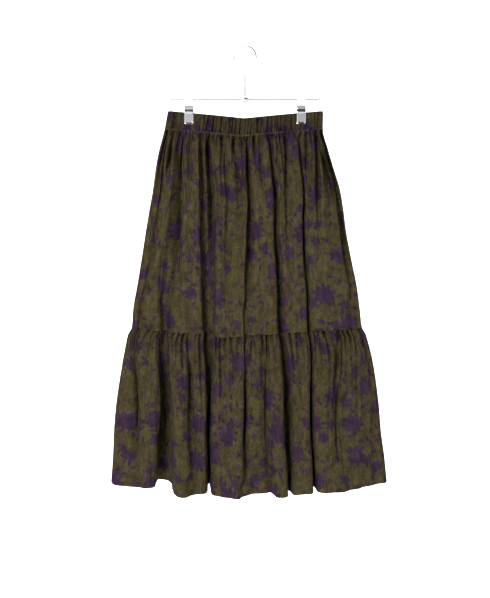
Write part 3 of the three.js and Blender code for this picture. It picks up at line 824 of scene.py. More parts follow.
class Motif:
    """Scattered places on the flat cloth, one to a cell, each with its own turn and chances."""

    def __init__(self, net: ShaderNet, cloth: Feed, cell: float, loose: float, edge: float = 0.5) -> None:
        """Lays the places out.

        Args:
            net: The material's nodes.
            cloth: Place on the flat cloth, in millimetres.
            cell: Distance between the places, in millimetres.
            loose: 0 keeps the places on a square grid, 1 scatters them freely.
            edge: Width of the shapes' soft edge, in millimetres.
        """
        self.net, self.cell, self.loose, self.edge = net, cell, loose, edge
        cells = self.centres(cloth)
        self.centre = cells.outputs["Position"]
        chances = net.add("SeparateColor", cells.outputs["Color"])
        self.chance, self.other_chance = chances.outputs[1:]
        local = net.add("VectorMath", cloth, self.centre, operation="SUBTRACT")
        self.radius = net.add("VectorMath", local, operation="LENGTH").outputs["Value"]
        place = net.add("SeparateXYZ", local).outputs
        direction = net.add("Math", place["Y"], place["X"], operation="ARCTAN2")
        self.angle = net.add("Math", chances, 2 * math.pi, direction, operation="MULTIPLY_ADD")
        waves = [net.add("Math", self.angle, operation=wave) for wave in ("COSINE", "SINE")]
        self.along, across = [net.add("Math", wave, self.radius, operation="MULTIPLY") for wave in waves]
        self.across = net.add("Math", across, operation="ABSOLUTE")

    def centres(self, cloth: Feed) -> bpy.types.Node:
        """Nearest of the scattered places to a place on the cloth."""
        named = {"Scale": 1 / self.cell, "Randomness": self.loose}
        return self.net.add("TexVoronoi", cloth, named=named, voronoi_dimensions="2D", feature="F1")

    def sized(self, smallest: float, spread: float) -> bpy.types.Node:
        """Size that grows with the first chance by the spread."""
        return self.net.add("Math", self.chance, spread, smallest, operation="MULTIPLY_ADD")

    def inside(self, outline: Feed, distance: Feed) -> bpy.types.Node:
        """1 where a distance is less than the outline's, with a soft edge."""
        depth = self.net.add("Math", outline, distance, operation="SUBTRACT")
        return self.net.add("Math", depth, 1 / self.edge, 0.5, operation="MULTIPLY_ADD", use_clamp=True)

    def dot(self, smallest: float, spread: float) -> bpy.types.Node:
        """Round dot."""
        return self.inside(self.sized(smallest, spread), self.radius)

    def flower(self, petals: int, smallest: float, spread: float, notch: float) -> bpy.types.Node:
        """Flower: its outline's radius swings with the size of a cosine, once to a petal.

        Args:
            petals: Number of its petals.
            smallest: Radius of the smallest one.
            spread: How much larger the largest one is.
            notch: How deep the outline goes in between petals, as a share.

        Returns:
            1 on the flower.
        """
        net = self.net
        swing = net.add("Math", self.angle, petals / 2, operation="MULTIPLY")
        lobe = net.add("Math", net.add("Math", swing, operation="COSINE"), operation="ABSOLUTE")
        share = net.add("Math", lobe, notch, 1 - notch, operation="MULTIPLY_ADD")
        outline = net.add("Math", self.sized(smallest, spread), share, operation="MULTIPLY")
        return self.inside(outline, self.radius)

    def leaf(self, length: float, width: float) -> bpy.types.Node:
        """Leaf: a parabola on each side of its middle line.

        Args:
            length: Half of its length.
            width: Half of its width.

        Returns:
            1 on the leaf.
        """
        share = self.net.add("Math", self.along, length, operation="DIVIDE")
        square = self.net.add("Math", share, share, operation="MULTIPLY")
        outline = self.net.add("Math", square, -width, width, operation="MULTIPLY_ADD")
        return self.inside(outline, self.across)

    def drawn_over(self, chance: float) -> bpy.types.Node:
        """1 in the cells whose second chance is over a share, 0 in the others."""
        return self.net.add("Math", self.other_chance, chance, operation="GREATER_THAN")

    def clear_of(self, other: "Motif", distance: float) -> bpy.types.Node:
        """Where this motif has room beside a larger one.

        Args:
            other: The larger motif.
            distance: How far apart their centres have to be.

        Returns:
            1 in the cells that are clear of it, 0 in the others.
        """
        nearest = other.centres(self.centre).outputs["Position"]
        gap = self.net.add("VectorMath", self.centre, nearest, operation="DISTANCE").outputs["Value"]
        return self.net.add("Math", gap, distance, operation="GREATER_THAN")

    def printed(self, shape: bpy.types.Node, *masks: bpy.types.Node) -> bpy.types.Node:
        """The shape, only where each mask lets it show.

        Args:
            shape: 1 on the shape.
            masks: Each 1 where the shape shows.

        Returns:
            Their product.
        """
        for mask in masks:
            shape = self.net.add("Math", shape, mask, operation="MULTIPLY")
        return shape


@dataclass(frozen=True)
class PrintedCotton:
    """Plain-weave cotton, dyed olive and printed with plum flowers.

    The weave is matt, so no highlight shows, and the dye is a little uneven. Its tone also carries
    painted shade: streaks that run down the cloth stand in for the shade of soft folds, and the
    span from darkest to palest is widened by painted shade. The print's edges are crisp but not
    hard.
    """

    ground: str = "#38331c"
    flowers: str = "#2b1f2c"
    roughness: float = 0.95
    gloss: float = 0.02
    darkest: float = 0.56
    palest: float = 1.34
    # Painted shade: a factor on the whole colour, for a copy of the cotton darkened as if in shade
    painted_shade_factor: float = 1.0
    name: str = "printed cotton, plain weave"

    def pattern(self, net: ShaderNet, cloth: Feed) -> bpy.types.Node:
        """Strength of the print: the most of all its motifs at a place.

        Args:
            net: The material's nodes.
            cloth: Place on the flat cloth, in millimetres.

        Returns:
            0 on the ground, 1 on a motif.
        """
        large = Motif(net, cloth, cell=66, loose=0.85)
        broad = large.flower(petals=9, smallest=12, spread=13, notch=0.34)
        medium = Motif(net, cloth, cell=40, loose=0.9)
        starred = medium.flower(petals=5, smallest=9, spread=5, notch=0.5)
        leaf = Motif(net, cloth, cell=17, loose=0.95)
        blade = Motif(net, cloth, cell=6.5, loose=0.95)
        dot = Motif(net, cloth, cell=4.6, loose=0.9)
        patches = net.add("TexNoise", cloth, named={"Scale": 1 / 34, "Detail": 1.0}, noise_dimensions="2D")
        grassy = net.add("MapRange", patches, 0.40, 0.50, 0.0, 0.75)
        crowded = net.add("MapRange", patches, 0.57, 0.47, 0.0, 0.75)
        whole = large.printed(broad, large.drawn_over(0.26))
        for motif in (
            medium.printed(starred, medium.drawn_over(0.4), medium.clear_of(large, 26)),
            leaf.printed(leaf.leaf(7.5, 3.0), leaf.drawn_over(0.35), leaf.clear_of(large, 21)),
            blade.printed(blade.leaf(4.8, 1.2), blade.drawn_over(0.15), grassy),
            dot.printed(dot.dot(smallest=0.8, spread=0.7), crowded),
        ):
            whole = net.add("Math", whole, motif, operation="MAXIMUM")
        return whole

    def build(self) -> bpy.types.Material:
        """Makes the material. Its pattern lies on the flat cloth, so that it follows the folds.

        Returns:
            The material.
        """
        net = ShaderNet(bpy.data.materials.new(self.name))
        place = net.add("UVMap", uv_map=CLOTH_UV)
        cloth = net.add("VectorMath", place, named={"Scale": 1 / MM}, operation="SCALE")
        wobble = net.add("TexNoise", cloth, named={"Scale": 0.12, "Detail": 2.0}, noise_dimensions="2D")
        offset = net.add("VectorMath", wobble.outputs["Color"], (0.5, 0.5, 0.5), operation="SUBTRACT")
        shaky = net.add("VectorMath", offset, (7.0, 7.0, 0.0), cloth, operation="MULTIPLY_ADD")
        pulled = net.add("VectorMath", cloth, (1.0, 0.22, 1.0), operation="MULTIPLY")
        mottle = net.add("TexNoise", cloth, named={"Scale": 1 / 20, "Detail": 6.0, "Roughness": 0.65},
                         noise_dimensions="2D")
        # Painted shade: long streaks down the cloth, mixed into the dye's mottle, stand in for the shade of
        # soft folds
        painted_fold_shade = net.add("TexNoise", pulled, named={"Scale": 0.16, "Detail": 3.0, "Roughness": 0.6},
                          noise_dimensions="2D")
        uneven = net.add("Mix", named={0: 0.45, 2: mottle, 3: painted_fold_shade})
        # Painted shade widens the span from darkest to palest, and the factor darkens a shaded copy as a
        # whole
        limits = (self.darkest * self.painted_shade_factor, self.palest * self.painted_shade_factor)
        shade = net.add("MapRange", uneven, 0.34, 0.66, *limits)
        dyes = [
            net.add("Mix", named={0: 1.0, 6: linear(dye), 7: shade}, data_type="RGBA", blend_type="MULTIPLY")
            for dye in (self.ground, self.flowers)
        ]
        colours = {0: self.pattern(net, shaky), 6: dyes[0].outputs[2], 7: dyes[1].outputs[2]}
        colour = net.add("Mix", named=colours, data_type="RGBA")
        # Threads are 0.3 mm apart, too fine to show, so the weave's grain is drawn at 1.5 mm
        grain = net.add("TexNoise", cloth, named={"Scale": 1 / 1.5, "Detail": 1.0}, noise_dimensions="2D")
        crumple = net.add("TexNoise", cloth, named={"Scale": 1 / 16, "Detail": 3.0}, noise_dimensions="2D")
        crinkle = net.add("TexNoise", pulled, named={"Scale": 1 / 7, "Detail": 2.0}, noise_dimensions="2D")
        relief = 0.0
        for layer, height in ((crumple, 1.1), (crinkle, 0.9), (grain, 0.12)):
            relief = net.add("Math", layer, height, relief, operation="MULTIPLY_ADD")
        bump = net.add("Bump", named={"Strength": 1.0, "Distance": MM, "Height": relief})
        shader = net.add("BsdfPrincipled", named={
            "Base Color": colour.outputs[2], "Roughness": self.roughness, "Specular IOR Level": self.gloss,
            "Normal": bump,
        })
        net.add("OutputMaterial", shader)
        return net.owner


@dataclass(frozen=True)
class ChromedSteel:
    """Polished steel wire and sheet with bright chrome plate: it mirrors what is round it."""

    colour: str = "#b4b5b9"
    roughness: float = 0.2

    def build(self) -> bpy.types.Material:
        """Makes the material.

        Returns:
            The material.
        """
        net = ShaderNet(bpy.data.materials.new("chromed steel, polished"))
        shader = net.add("BsdfPrincipled", named={
            "Base Color": linear(self.colour), "Metallic": 1.0, "Roughness": self.roughness,
        })
        net.add("OutputMaterial", shader)
        return net.owner


@dataclass(frozen=True)
class Tier:
    """One side's panel of a tier: its cut, its gathers and the rows of its mesh."""

    name: str
    top: float
    foot: float
    cut: float
    main_gathers: int
    gathers: tuple[Gathers, ...]
    stations: tuple[int, ...]
    rows: int
    crowding: float
    spread: float
    ruffle: bool


@dataclass
class Skirt:
    """The skirt's waistband and two tiers, each in a front and a back half."""

    cotton: bpy.types.Material
    # Copy of the cotton darkened by painted shade, for the waistband
    drawn_up: bpy.types.Material
    sizes: SkirtSizes
    wall: float = 0.001
    coarse_columns: int = 144
    band_cut: float = 0.50
    upper_cut: float = 0.65
    lower_cut: float = 1.04
    gather_share: float = 0.95
    clip_hold: float = 0.5
    wrinkle_onset: float = 0.05
    puff_reach: float = 0.008
    puff_length: float = 0.010
    puff_fade: float = 0.200
    hem_height: float = 0.009
    hem_turn: float = 0.0008
    tuck: float = 0.004
    tuck_foot: float = 0.001
    tuck_gap: float = 0.0006
    overlap: float = 0.003
    band_wall: float = 0.0038
    band_ribs: int = 40
    band_end_columns: int = 4
    band_hold: float = 0.6
    band_edge: float = 0.003
    band_foot: float = 0.002
    band_foot_share: float = 0.4
    band_inset: float = 0.0012
    band_thinning: float = 0.0008
    rib_start: float = -0.01
    rib_length: float = 5.0
    groove_thinning: float = 0.2
    back_print: float = 3.17
    print_top: float = 1.0

    @property
    def refine(self) -> int:
        """Fine columns to a coarse one."""
        return 4

    def surface(
        self, name: str, side: Side, grid: PlanGrid, plan: tuple[np.ndarray, np.ndarray], waist_x: np.ndarray,
        drop: np.ndarray, shift: np.ndarray, proud: np.ndarray, wall: np.ndarray, flat: np.ndarray,
    ) -> bpy.types.Object:
        """Closes a cloth wall over a plan.

        The outer point is the plan's point, moved along its normal by the shift and straight
        out by how proud it stands. The inner point is one wall further in.

        Args:
            name: Name of the object.
            side: Side of the skirt.
            grid: The panel's columns.
            plan: Places and reaches, rows by columns.
            waist_x: Places of the columns at the waist.
            drop: Drops, one to a row.
            shift: Distances along the normal, rows by columns.
            proud: Distances straight out, rows by columns.
            wall: Wall thicknesses, rows by columns.
            flat: Places along the flat cloth, one to a column.

        Returns:
            The object with its finish.
        """
        x, reach = plan
        out_x, out_reach = plan_normals(x, reach)
        away = grid.near_side_seam(columns=2.5)[None, :]
        z = self.sizes.height(drop, side.value * waist_x)
        points = []
        for out in (shift, shift - wall):
            at_x = x + out_x * out
            at_reach = reach + out_reach * out + proud * away
            points.append(np.stack([side.value * at_x, -side.value * at_reach, z], axis=2))
        offset = 0.0 if side is Side.FRONT else self.back_print
        uv = np.stack(np.broadcast_arrays(flat[None, :] + offset, drop[:, None] + self.print_top), axis=2)
        made = closed_wall(name, points[0], points[1], uv)
        # The waistband takes the copy of the cotton with painted rib shade
        made.data.materials.append(self.drawn_up if name.endswith("waistband") else self.cotton)
        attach(made, BODY)
        half, piece = name.split("-", 1)
        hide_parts(f"{piece.replace('-', '_')}_{half}")
        return made

    def tiers(self, side: Side) -> tuple[Tier, Tier]:
        """The upper tier, gathered onto the waistband, and the ruffle, gathered onto that tier.

        Args:
            side: Side of the skirt.

        Returns:
            Their panels on that side.
        """
        waist, seam, hem = self.sizes.band_height, self.sizes.seam_drop, self.sizes.hem_drop
        upper = Tier(
            name="upper-tier", top=waist, foot=seam, cut=self.upper_cut, main_gathers=25, gathers=(
                Gathers(waist, depth=0.022, length=0.200, half_width=0.28, seed=1.0 + side.value),
                Gathers(waist, depth=0.013, length=0.100, half_width=0.28, seed=4.0 + side.value, many=2),
            ),
            stations=(1, 2), rows=84, crowding=1.2, spread=0.05, ruffle=False,
        )
        lower = Tier(
            name="lower-tier", top=seam, foot=hem, cut=self.lower_cut, main_gathers=56, gathers=(
                Gathers(seam, depth=0.019, length=0.120, half_width=0.25, seed=2.3 + side.value),
                Gathers(seam, depth=0.010, length=0.055, half_width=0.28, seed=5.1 + side.value, many=2),
            ),
            stations=(2, 3, 4), rows=76, crowding=2.2, spread=0.03, ruffle=True,
        )
        return upper, lower

    def panel(self, tier: Tier, lines: FoldLines, table: np.ndarray) -> bpy.types.Object:
        """Builds one side's panel of a tier.

        The folds' plan is evened out along its length. Then the gathers and creases set it
        back, it puffs out under its seam, and small wrinkles shift it.

        Args:
            tier: The tier on that side.
            lines: The side's fold lines.
            table: The side's listed creases.

        Returns:
            The panel.
        """
        sizes, side = self.sizes, lines.side
        rows = graded_rows(tier.top - self.overlap, tier.foot, tier.rows, tier.crowding, tier.spread)
        grid = PlanGrid.plain(lines.column_counts(tier.stations, self.coarse_columns), self.refine)

        def plan(drop: np.ndarray) -> tuple[np.ndarray, np.ndarray]:
            """Plan of the cloth on the grid at some drops."""
            return grid.curve(lines.at(drop), sizes.half_widths(drop, side), lines.steepness(drop), sizes)

        spread = rows[np.linspace(0, len(rows) - 1, 4).astype(int)]
        grid = grid.evened([plan(drop) for drop in spread[:, None]])
        x, reach = plan(rows)
        waist_x, _ = plan(STATION_DROPS[:1])
        place = length_along(x[0], reach[0]) * tier.main_gathers
        flat = sum(length_along(*(part[0] for part in plan(drop))) for drop in spread[:, None]) / 4 * tier.cut
        held = sizes.pinch(x, rows[:, None])
        free = 1 - self.clip_hold * held
        back = sum(gathers.displacement(place, rows) for gathers in tier.gathers) * free
        back = np.minimum(back, self.puff_reach + self.gather_share * np.maximum(reach, 0))
        back = back + creases(table, x, rows) * free
        facing = np.clip(plan_normals(x, reach)[1], 0, 1)
        proud = -sizes.pinch_depth * held - back * facing**1.5 * grid.near_side_seam(columns=1.5)
        soft = smooth_step(0, self.wrinkle_onset, rows - rows[0])[:, None]
        shift = wrinkles(flat, rows, 1.0 + side.value) * soft * (1 - held) * grid.near_side_seam(columns=4)
        wall = np.full_like(x, self.wall)
        below = np.maximum(0, rows - tier.top)[:, None]
        puff = self.puff_reach * (1 - np.exp(-below / self.puff_length))
        proud = proud + puff * (1 if tier.ruffle else np.exp(-(below / self.puff_fade) ** 2))
        if tier.ruffle:
            tucked = smooth_step(0, self.tuck, sizes.seam_drop + self.tuck_foot - rows)[:, None]
            shift = shift * (1 - tucked) - (self.wall + self.tuck_gap) * tucked
            hem_top = sizes.hem_drop - self.hem_height
            wall = wall + self.hem_turn * smooth_step(hem_top - self.hem_turn, hem_top, rows)[:, None]
        name = f"{side.name.lower()}-{tier.name}"
        made = self.surface(name, side, grid, (x, reach), waist_x[0], rows, shift, proud, wall, flat)
        pitch = np.hypot(np.diff(x[0]), np.diff(reach[0])).sum() / tier.main_gathers
        log.info("%s: %d faces, gathers %.1f mm apart", name, len(made.data.polygons), pitch / MM)
        return made

    def waistband(self, side: Side) -> bpy.types.Object:
        """Builds half of the waistband: a casing, drawn up into fine ribs by its elastic.

        The grooves between its ribs are gathers that don't fade. The casing draws in at its top
        edge and a little at its foot, and is thinner there and in the grooves.

        Args:
            side: Side of the skirt.

        Returns:
            The half.
        """
        sizes, end = self.sizes, self.band_end_columns
        grid = PlanGrid.plain(np.array([end, 2 * (self.band_ribs - end), end]), 2 * self.refine)

        def plan(drop: np.ndarray) -> tuple[np.ndarray, np.ndarray]:
            """Plan of the band at some drops: a level run between two round ends."""
            left, right = sizes.half_widths(drop, side)
            knots = np.stack([sizes.band_end_round - left, right - sizes.band_end_round], axis=1)
            reaches = np.full_like(knots, sizes.band_reach)
            return grid.curve((knots, reaches), (left, right), np.zeros_like(knots), sizes)

        rows = graded_rows(0.0, sizes.band_height, 24, crowding=1.0, spread=0.002)
        x, reach = plan(rows)
        waist_x, _ = plan(STATION_DROPS[:1])
        held = sizes.pinch(x, rows[:, None])
        place = grid.places / 2
        ribs = Gathers(self.rib_start, depth=0.0065, length=self.rib_length, half_width=0.28,
                       seed=2.2 + side.value)
        fine = Gathers(self.rib_start, depth=0.0046, length=self.rib_length, half_width=0.36,
                       seed=3.6 + side.value, many=2)
        inwards = ribs.displacement(place, rows) + fine.displacement(place, rows)
        shift = -inwards * (1 - self.band_hold * held) * grid.near_side_seam(columns=4)
        foot = smooth_step(-self.band_foot, 0, rows - sizes.band_height)
        turned = (1 - smooth_step(0, self.band_edge, rows) + self.band_foot_share * foot)[:, None]
        shift = shift - self.band_inset * turned
        wall = self.band_wall - self.band_thinning * turned + shift * self.groove_thinning
        # The print is drawn up as closely as at the top of the tier below
        flat = grid.places / grid.places[-1] * self.upper_cut
        name = f"{side.name.lower()}-waistband"
        proud = -sizes.pinch_depth * held
        made = self.surface(name, side, grid, (x, reach), waist_x[0], rows, shift, proud, wall, flat)
        log.info("%s: %d faces", name, len(made.data.polygons))
        return made

    def build(self) -> None:
        """Builds both sides."""
        for side, folds, table in (
            (Side.FRONT, FRONT_FOLDS, FRONT_CREASES), (Side.BACK, BACK_FOLDS, BACK_CREASES),
        ):
            self.waistband(side)
            for tier in self.tiers(side):
                self.panel(tier, FoldLines(folds, side, self.sizes), table)


@dataclass
class Hanger:
    """The hanger's bar, collar, neck and hook, bent and pressed from steel wire."""

    chrome: bpy.types.Material
    wire: float = 0.004
    hook_radius: float = 0.022
    hook_centre: float = -0.020
    hook_start: float = -50.0
    hook_end: float = 193.0
    neck_bend: float = -0.062
    neck_swing: float = 0.010
    bar_height: float = -0.102
    bar_radius: float = 0.0025
    bar_half: float = 0.150
    bead_radius: float = 0.0035
    bead_length: float = 0.004
    collar_radius: float = 0.0055
    collar_half: float = 0.007
    around: int = 32

    def hook_path(self) -> np.ndarray:
        """Middle line of the neck and hook.

        A straight neck, a cubic curve that swings out to the side, and an arc over the rail.

        Returns:
            Points across and up.
        """
        start, end = math.radians(self.hook_start), math.radians(self.hook_end)
        centre = np.array([0, self.hook_centre])
        joint = centre + self.hook_radius * np.array([math.cos(start), math.sin(start)])
        tangent = np.array([-math.sin(start), math.cos(start)])
        foot = np.array([0, self.neck_bend])
        t = np.linspace(0, 1, 24)[:, None]
        neck = np.array([[0, self.bar_height]]) * (1 - t) + foot * t
        bend = ((1 - t) ** 3 * foot + 3 * t * (1 - t) ** 2 * (foot + [0, self.neck_swing])
                + 3 * t**2 * (1 - t) * (joint - self.neck_swing * tangent) + t**3 * joint)
        angle = np.linspace(start, end, 90)[:, None]
        arc = centre + self.hook_radius * np.hstack([np.cos(angle), np.sin(angle)])
        return np.concatenate([neck[:-1], bend[:-1], arc])

    def hook_rings(self) -> np.ndarray:
        """Round rings square to the hook's middle line, that close in a half ball at its tip.

        Returns:
            Rings by points by three.
        """
        path = self.hook_path()
        run = np.gradient(path, axis=0)
        run /= np.hypot(run[:, 0], run[:, 1])[:, None]
        radius = self.wire / 2
        tip = np.linspace(0, 0.995, 8)[1:, None]
        path = np.concatenate([path, path[-1] + run[-1] * tip * radius])
        run = np.concatenate([run, np.repeat(run[-1:], len(tip), axis=0)])
        size = np.concatenate([np.full(len(path) - len(tip), radius), radius * np.sqrt(1 - tip[:, 0] ** 2)])
        turn = np.linspace(0, 2 * np.pi, self.around, endpoint=False)
        across = size[:, None] * np.cos(turn)
        x = path[:, :1] - run[:, 1:] * across
        z = path[:, 1:] + run[:, :1] * across
        return np.stack([x, size[:, None] * np.sin(turn), z], axis=2)

    def bar_rings(self) -> np.ndarray:
        """Rings round the bar: its radius steps up at the end beads and the collar.

        Returns:
            Rings by points by three.
        """
        soft = 0.0006
        end, bead = self.bar_half, self.bar_half - self.bead_length
        profile = [
            (end, self.bead_radius - soft), (end - soft / 3, self.bead_radius - soft / 3),
            (end - soft, self.bead_radius), (bead + soft, self.bead_radius),
            (bead + soft / 3, self.bead_radius - soft / 3), (bead, self.bead_radius - soft),
            (bead, self.bar_radius), (self.collar_half, self.bar_radius),
            (self.collar_half, self.collar_radius - soft),
            (self.collar_half - soft / 3, self.collar_radius - soft / 3),
            (self.collar_half - soft, self.collar_radius),
        ]
        half = np.array(profile)
        whole = np.concatenate([half, half[::-1] * [-1, 1]])
        turn = np.linspace(0, 2 * np.pi, self.around, endpoint=False)
        x = np.repeat(whole[:, :1], self.around, axis=1)
        y = whole[:, 1:] * np.cos(turn)
        z = self.bar_height + whole[:, 1:] * np.sin(turn)
        return np.stack([x, y, z], axis=2)

    def build(self) -> bpy.types.Object:
        """Builds the frame of the hanger in one piece."""
        made = ring_solid("hanger-wire", (self.hook_rings(), False), (self.bar_rings(), False))
        return dress_metal(made, self.chrome, "hanger_frame")


@dataclass
class Clip:
    """One trouser clip: a sleeve on the bar with a stem, and two bent jaws with rolled lips."""

    chrome: bpy.types.Material
    name: str
    place: float
    waist_top: float
    bar_height: float
    width: float = 0.018
    grip: float = 0.023
    sheet: float = 0.0014
    corner: float = 0.004
    rim: float = 0.0024
    rim_height: float = 0.0006
    rim_onset: float = 0.0015
    rim_fade: float = 0.001
    edge: float = 0.0003
    grip_reach: float = 0.0053
    lip_height: float = 0.003
    lip_out: float = 0.0012
    stem_reach: float = 0.0033
    stem_top: float = 0.014
    stem_foot: float = 0.007
    grip_top: float = 0.002
    bend_points: int = 4
    lever_top: float = -0.098
    lever_out: float = 0.012
    sleeve_width: float = 0.013
    sleeve_inner: float = 0.0028
    sleeve_outer: float = 0.006
    sleeve_corner: float = 0.0006
    stem_half: float = 0.003
    stem_corner: float = 0.0008
    stem_start: float = 0.0046
    stem_end: float = 0.003
    around: int = 40

    def jaw_line(self) -> np.ndarray:
        """Middle line of a jaw's sheet, as reaches and heights.

        The corners from lever to stem to grip to lip are joined by straight runs, then
        rounded by a running average along the line.

        Returns:
            Points from the lever's top down to the lip.
        """
        top, bottom = self.waist_top, self.waist_top - self.grip
        corners = np.array([
            [self.lever_out, self.lever_top], [self.stem_reach, top + self.stem_top],
            [self.stem_reach, top + self.stem_foot], [self.grip_reach, top + self.grip_top],
            [self.grip_reach, bottom + self.lip_height], [self.grip_reach + self.lip_out, bottom],
        ]) + [self.sheet / 2, 0]
        lengths = np.concatenate([[0], np.cumsum(np.hypot(*np.diff(corners, axis=0).T))])
        along = np.linspace(0, lengths[-1], 160)
        line = np.stack([np.interp(along, lengths, corners[:, k]) for k in (0, 1)], axis=1)
        past = self.bend_points
        pad = np.concatenate([2 * line[0] - line[past:0:-1], line, 2 * line[-1] - line[-2 : -2 - past : -1]])
        weights = np.hanning(2 * past + 3)[1:-1]
        weights /= weights.sum()
        return np.stack([np.convolve(pad[:, k], weights, mode="valid") for k in (0, 1)], axis=1)

    def jaw_rings(self, outward: int) -> np.ndarray:
        """Rings across a jaw's sheet.

        Each ring goes along the outer face and back along the inner one. On the grip the outer
        face is sunk between two rims, each a half sine across. The half-width draws in along a
        quarter circle at both ends.

        Args:
            outward: -1 for the front jaw, 1 for the back one.

        Returns:
            Rings by points by three.
        """
        line = self.jaw_line()
        run = np.gradient(line, axis=0)
        run /= np.hypot(run[:, 0], run[:, 1])[:, None]
        out = np.stack([-run[:, 1], run[:, 0]], axis=1)
        from_top, from_end = self.lever_top - line[:, 1], line[:, 1] - line[-1, 1]
        near = np.clip(1 - np.minimum(from_top, from_end) / self.corner, 0, 1)
        half = (self.width / 2 - self.corner * (1 - np.sqrt(1 - near**2)))[:, None]
        bead = np.linspace(0, np.pi, 9)
        inset = self.rim * (1 - np.cos(bead)) / 2
        outer_x = np.concatenate([-half + inset, (half - inset)[:, ::-1]], axis=1)
        sunk = smooth_step(self.lip_height, self.lip_height + self.rim_onset, from_end)
        sunk = (sunk * (1 - smooth_step(self.waist_top - self.rim_fade, self.waist_top, line[:, 1])))[:, None]
        raised, full = np.sin(bead) * self.rim_height, np.sin(np.minimum(bead, np.pi / 2)) * self.rim_height
        rimmed, plain = (np.concatenate([height, height[::-1]]) for height in (raised, full))
        outer = self.sheet / 2 - self.rim_height + rimmed * sunk + plain * (1 - sunk)
        inner_x = np.concatenate([half, half - self.edge, self.edge - half, -half], axis=1)
        inner = np.broadcast_to(-self.sheet / 2 + np.array([self.edge, 0, 0, self.edge]), inner_x.shape)
        x, shift = np.concatenate([outer_x, inner_x], axis=1), np.concatenate([outer, inner], axis=1)
        reach = line[:, :1] + out[:, :1] * shift
        z = line[:, 1:] + out[:, 1:] * shift
        return np.stack([self.place + x, outward * reach, z], axis=2)

    def sleeve_rings(self) -> np.ndarray:
        """Rings of the sleeve: a round-cornered rectangle carried round the bar.

        Returns:
            Rings by points by three.
        """
        middle = (self.sleeve_inner + self.sleeve_outer) / 2
        half = (self.sleeve_outer - self.sleeve_inner) / 2
        outline = rounded_box_ring(self.sleeve_width / 2, half, self.sleeve_corner)
        turn = np.linspace(0, 2 * np.pi, self.around, endpoint=False)[:, None]
        radius = middle + outline[:, 1]
        x = np.broadcast_to(self.place + outline[:, 0], (self.around, len(outline)))
        return np.stack([x, radius * np.sin(turn), self.bar_height + radius * np.cos(turn)], axis=2)

    def stem_rings(self) -> np.ndarray:
        """Rings of the stem: the same kind of outline carried down, drawn in at its foot.

        Returns:
            Rings by points by three.
        """
        outline = rounded_box_ring(self.sleeve_width / 2, self.stem_half, self.stem_corner)
        foot = self.waist_top + self.stem_end
        z = np.array([self.bar_height - self.stem_start, foot + 0.0008, foot + 0.0002, foot])[:, None]
        scale = np.array([1, 1, 0.96, 0.86])[:, None]
        x, y = self.place + outline[:, 0] * scale, outline[:, 1] * scale
        return np.stack([x, y, np.broadcast_to(z, x.shape)], axis=2)

    def build(self) -> None:
        """Builds the saddle and both jaws."""
        rings = ((self.sleeve_rings(), True), (self.stem_rings(), False))
        saddle = ring_solid(f"{self.name}-clip-saddle", *rings)
        dress_metal(saddle, self.chrome, f"clip_{self.name}_saddle")
        for half, outward in (("front", -1), ("back", 1)):
            jaw = ring_solid(f"{self.name}-clip-{half}-jaw", (self.jaw_rings(outward), False))
            dress_metal(jaw, self.chrome, f"clip_{self.name}_{half}")


def dress_metal(made: bpy.types.Object, chrome: bpy.types.Material, node: str) -> bpy.types.Object:
    """Gives a metal piece its finish and its place in the part.

    Args:
        made: The piece.
        chrome: Its finish.
        node: The plain solid that it stands for.

    Returns:
        The piece.
    """
    made.data.materials.append(chrome)
    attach(made, BODY)
    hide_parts(node)
    log.info("%s: %d faces", made.name, len(made.data.polygons))
    return made


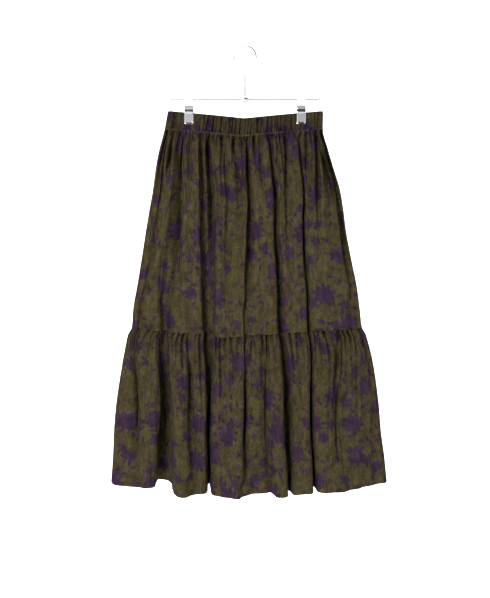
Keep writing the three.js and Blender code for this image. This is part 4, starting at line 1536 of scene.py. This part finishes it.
@dataclass
class Studio:
    """White paper that sweeps from floor to wall, soft light and the camera."""

    paper_colour: str = "#fcfcfc"
    floor_height: float = -1.90
    floor_half: float = 9.0
    floor_front: float = -14.0
    front_light: float = 0.06
    middle_light: float = 0.80
    middle_height: float = 0.03
    wall_place: float = 5.0
    wall_top: float = 6.0
    sweep: float = 2.0
    camera_distance: float = 2.2
    camera_pitch: float = 9.0
    camera_height: float = -0.1605
    lens: float = 64.6

    def paper(self) -> None:
        """Hangs the paper: a flat floor, a quarter circle and an upright wall."""
        turn = np.linspace(0, np.pi / 2, 24)
        y = np.concatenate([
            [self.floor_front], self.wall_place - self.sweep + self.sweep * np.sin(turn), [self.wall_place],
        ])
        z = np.concatenate([
            [self.floor_height], self.floor_height + self.sweep * (1 - np.cos(turn)), [self.wall_top],
        ])
        sides = np.array([-self.floor_half, self.floor_half])
        points = np.stack(np.broadcast_arrays(sides[None, :], y[:, None], z[:, None]), axis=2)
        g = np.arange(points.shape[0] * 2).reshape(-1, 2)
        faces = quads(g[:-1, 0], g[:-1, 1], g[1:, 1], g[1:, 0])
        made = add_mesh("floor-paper", points.reshape(-1, 3), [faces])
        net = ShaderNet(bpy.data.materials.new("white paper, matt"))
        shader = net.add("BsdfPrincipled", named={
            "Base Color": linear(self.paper_colour), "Roughness": 1.0, "Specular IOR Level": 0.0,
        })
        net.add("OutputMaterial", shader)
        made.data.materials.append(net.owner)

    def light(
        self, name: str, place: Sequence[float], aim: Sequence[float], size: float, power: float,
    ) -> None:
        """Hangs a soft square light.

        Args:
            name: Name of the light.
            place: Where it hangs.
            aim: What it points at.
            size: Its side.
            power: Its power in watts.
        """
        lamp = bpy.data.lights.new(name, "AREA")
        lamp.size, lamp.energy = size, power
        made = bpy.data.objects.new(name, lamp)
        bpy.context.scene.collection.objects.link(made)
        made.location = place
        direction = made.location.copy()
        direction.xyz = [a - p for a, p in zip(aim, place)]
        made.rotation_euler = direction.to_track_quat("-Z", "Y").to_euler()

    def room(self) -> None:
        """Surrounds the scene with a pale room, dim in front of the skirt but for its middle height."""
        net = ShaderNet(bpy.data.worlds.new("studio room"))
        place = net.add("SeparateXYZ", net.add("TexCoord").outputs["Generated"]).outputs
        behind = net.add("MapRange", place["Y"], 0.0, 0.4, self.front_light, 1.0)
        above = net.add("Math", place["Z"], self.middle_height, operation="SUBTRACT")
        away = net.add("Math", above, operation="ABSOLUTE")
        middle = net.add("MapRange", away, 0.17, 0.27, self.middle_light, 0.0)
        strength = net.add("Math", behind, middle, operation="MAXIMUM")
        net.add("OutputWorld", net.add("Background", (1, 1, 1, 1), strength))
        bpy.context.scene.world = net.owner

    def build(self) -> None:
        """Sets up the paper, lights, surroundings and camera."""
        self.paper()
        self.room()
        self.light("key", place=(-1.15, -2.7, 0.8), aim=(0, 0, -3.0), size=1.0, power=147)
        self.light("fill", place=(1.7, -2.4, -0.4), aim=(0, 0, -0.8), size=1.8, power=16)
        self.light("wall wash", place=(0, 2.2, 4.6), aim=(0, 4.4, -1.6), size=4.0, power=900)
        bpy.context.scene.view_settings.view_transform = "Standard"
        camera = bpy.data.cameras.new("camera")
        camera.lens, camera.sensor_width, camera.sensor_fit = self.lens, 36.0, "AUTO"
        made = bpy.data.objects.new("camera", camera)
        bpy.context.scene.collection.objects.link(made)
        pitch = math.radians(self.camera_pitch)
        made.location = (0, -self.camera_distance * math.cos(pitch), self.camera_height)
        made.rotation_euler = (math.pi / 2 - pitch, 0, 0)
        bpy.context.scene.camera = made


def main() -> None:
    """Builds the skirt, its hanger and the studio."""
    cotton = PrintedCotton().build()
    # Painted shade: the waistband's copy of the cotton is darker all over, for the shade that falls between
    # its fine ribs
    drawn_up = PrintedCotton(painted_shade_factor=0.84, name="printed cotton, with painted rib shade").build()
    chrome = ChromedSteel().build()
    sizes = SkirtSizes()
    Skirt(cotton, drawn_up, sizes).build()
    hanger = Hanger(chrome)
    hanger.build()
    for name, place in (("left", -sizes.clip_place), ("right", sizes.clip_place)):
        waist_top = float(sizes.height(np.zeros(1), np.array([place]))[0, 0])
        Clip(chrome, name, place, waist_top, hanger.bar_height).build()
    Studio().build()


if __name__ == "__main__":
    main()
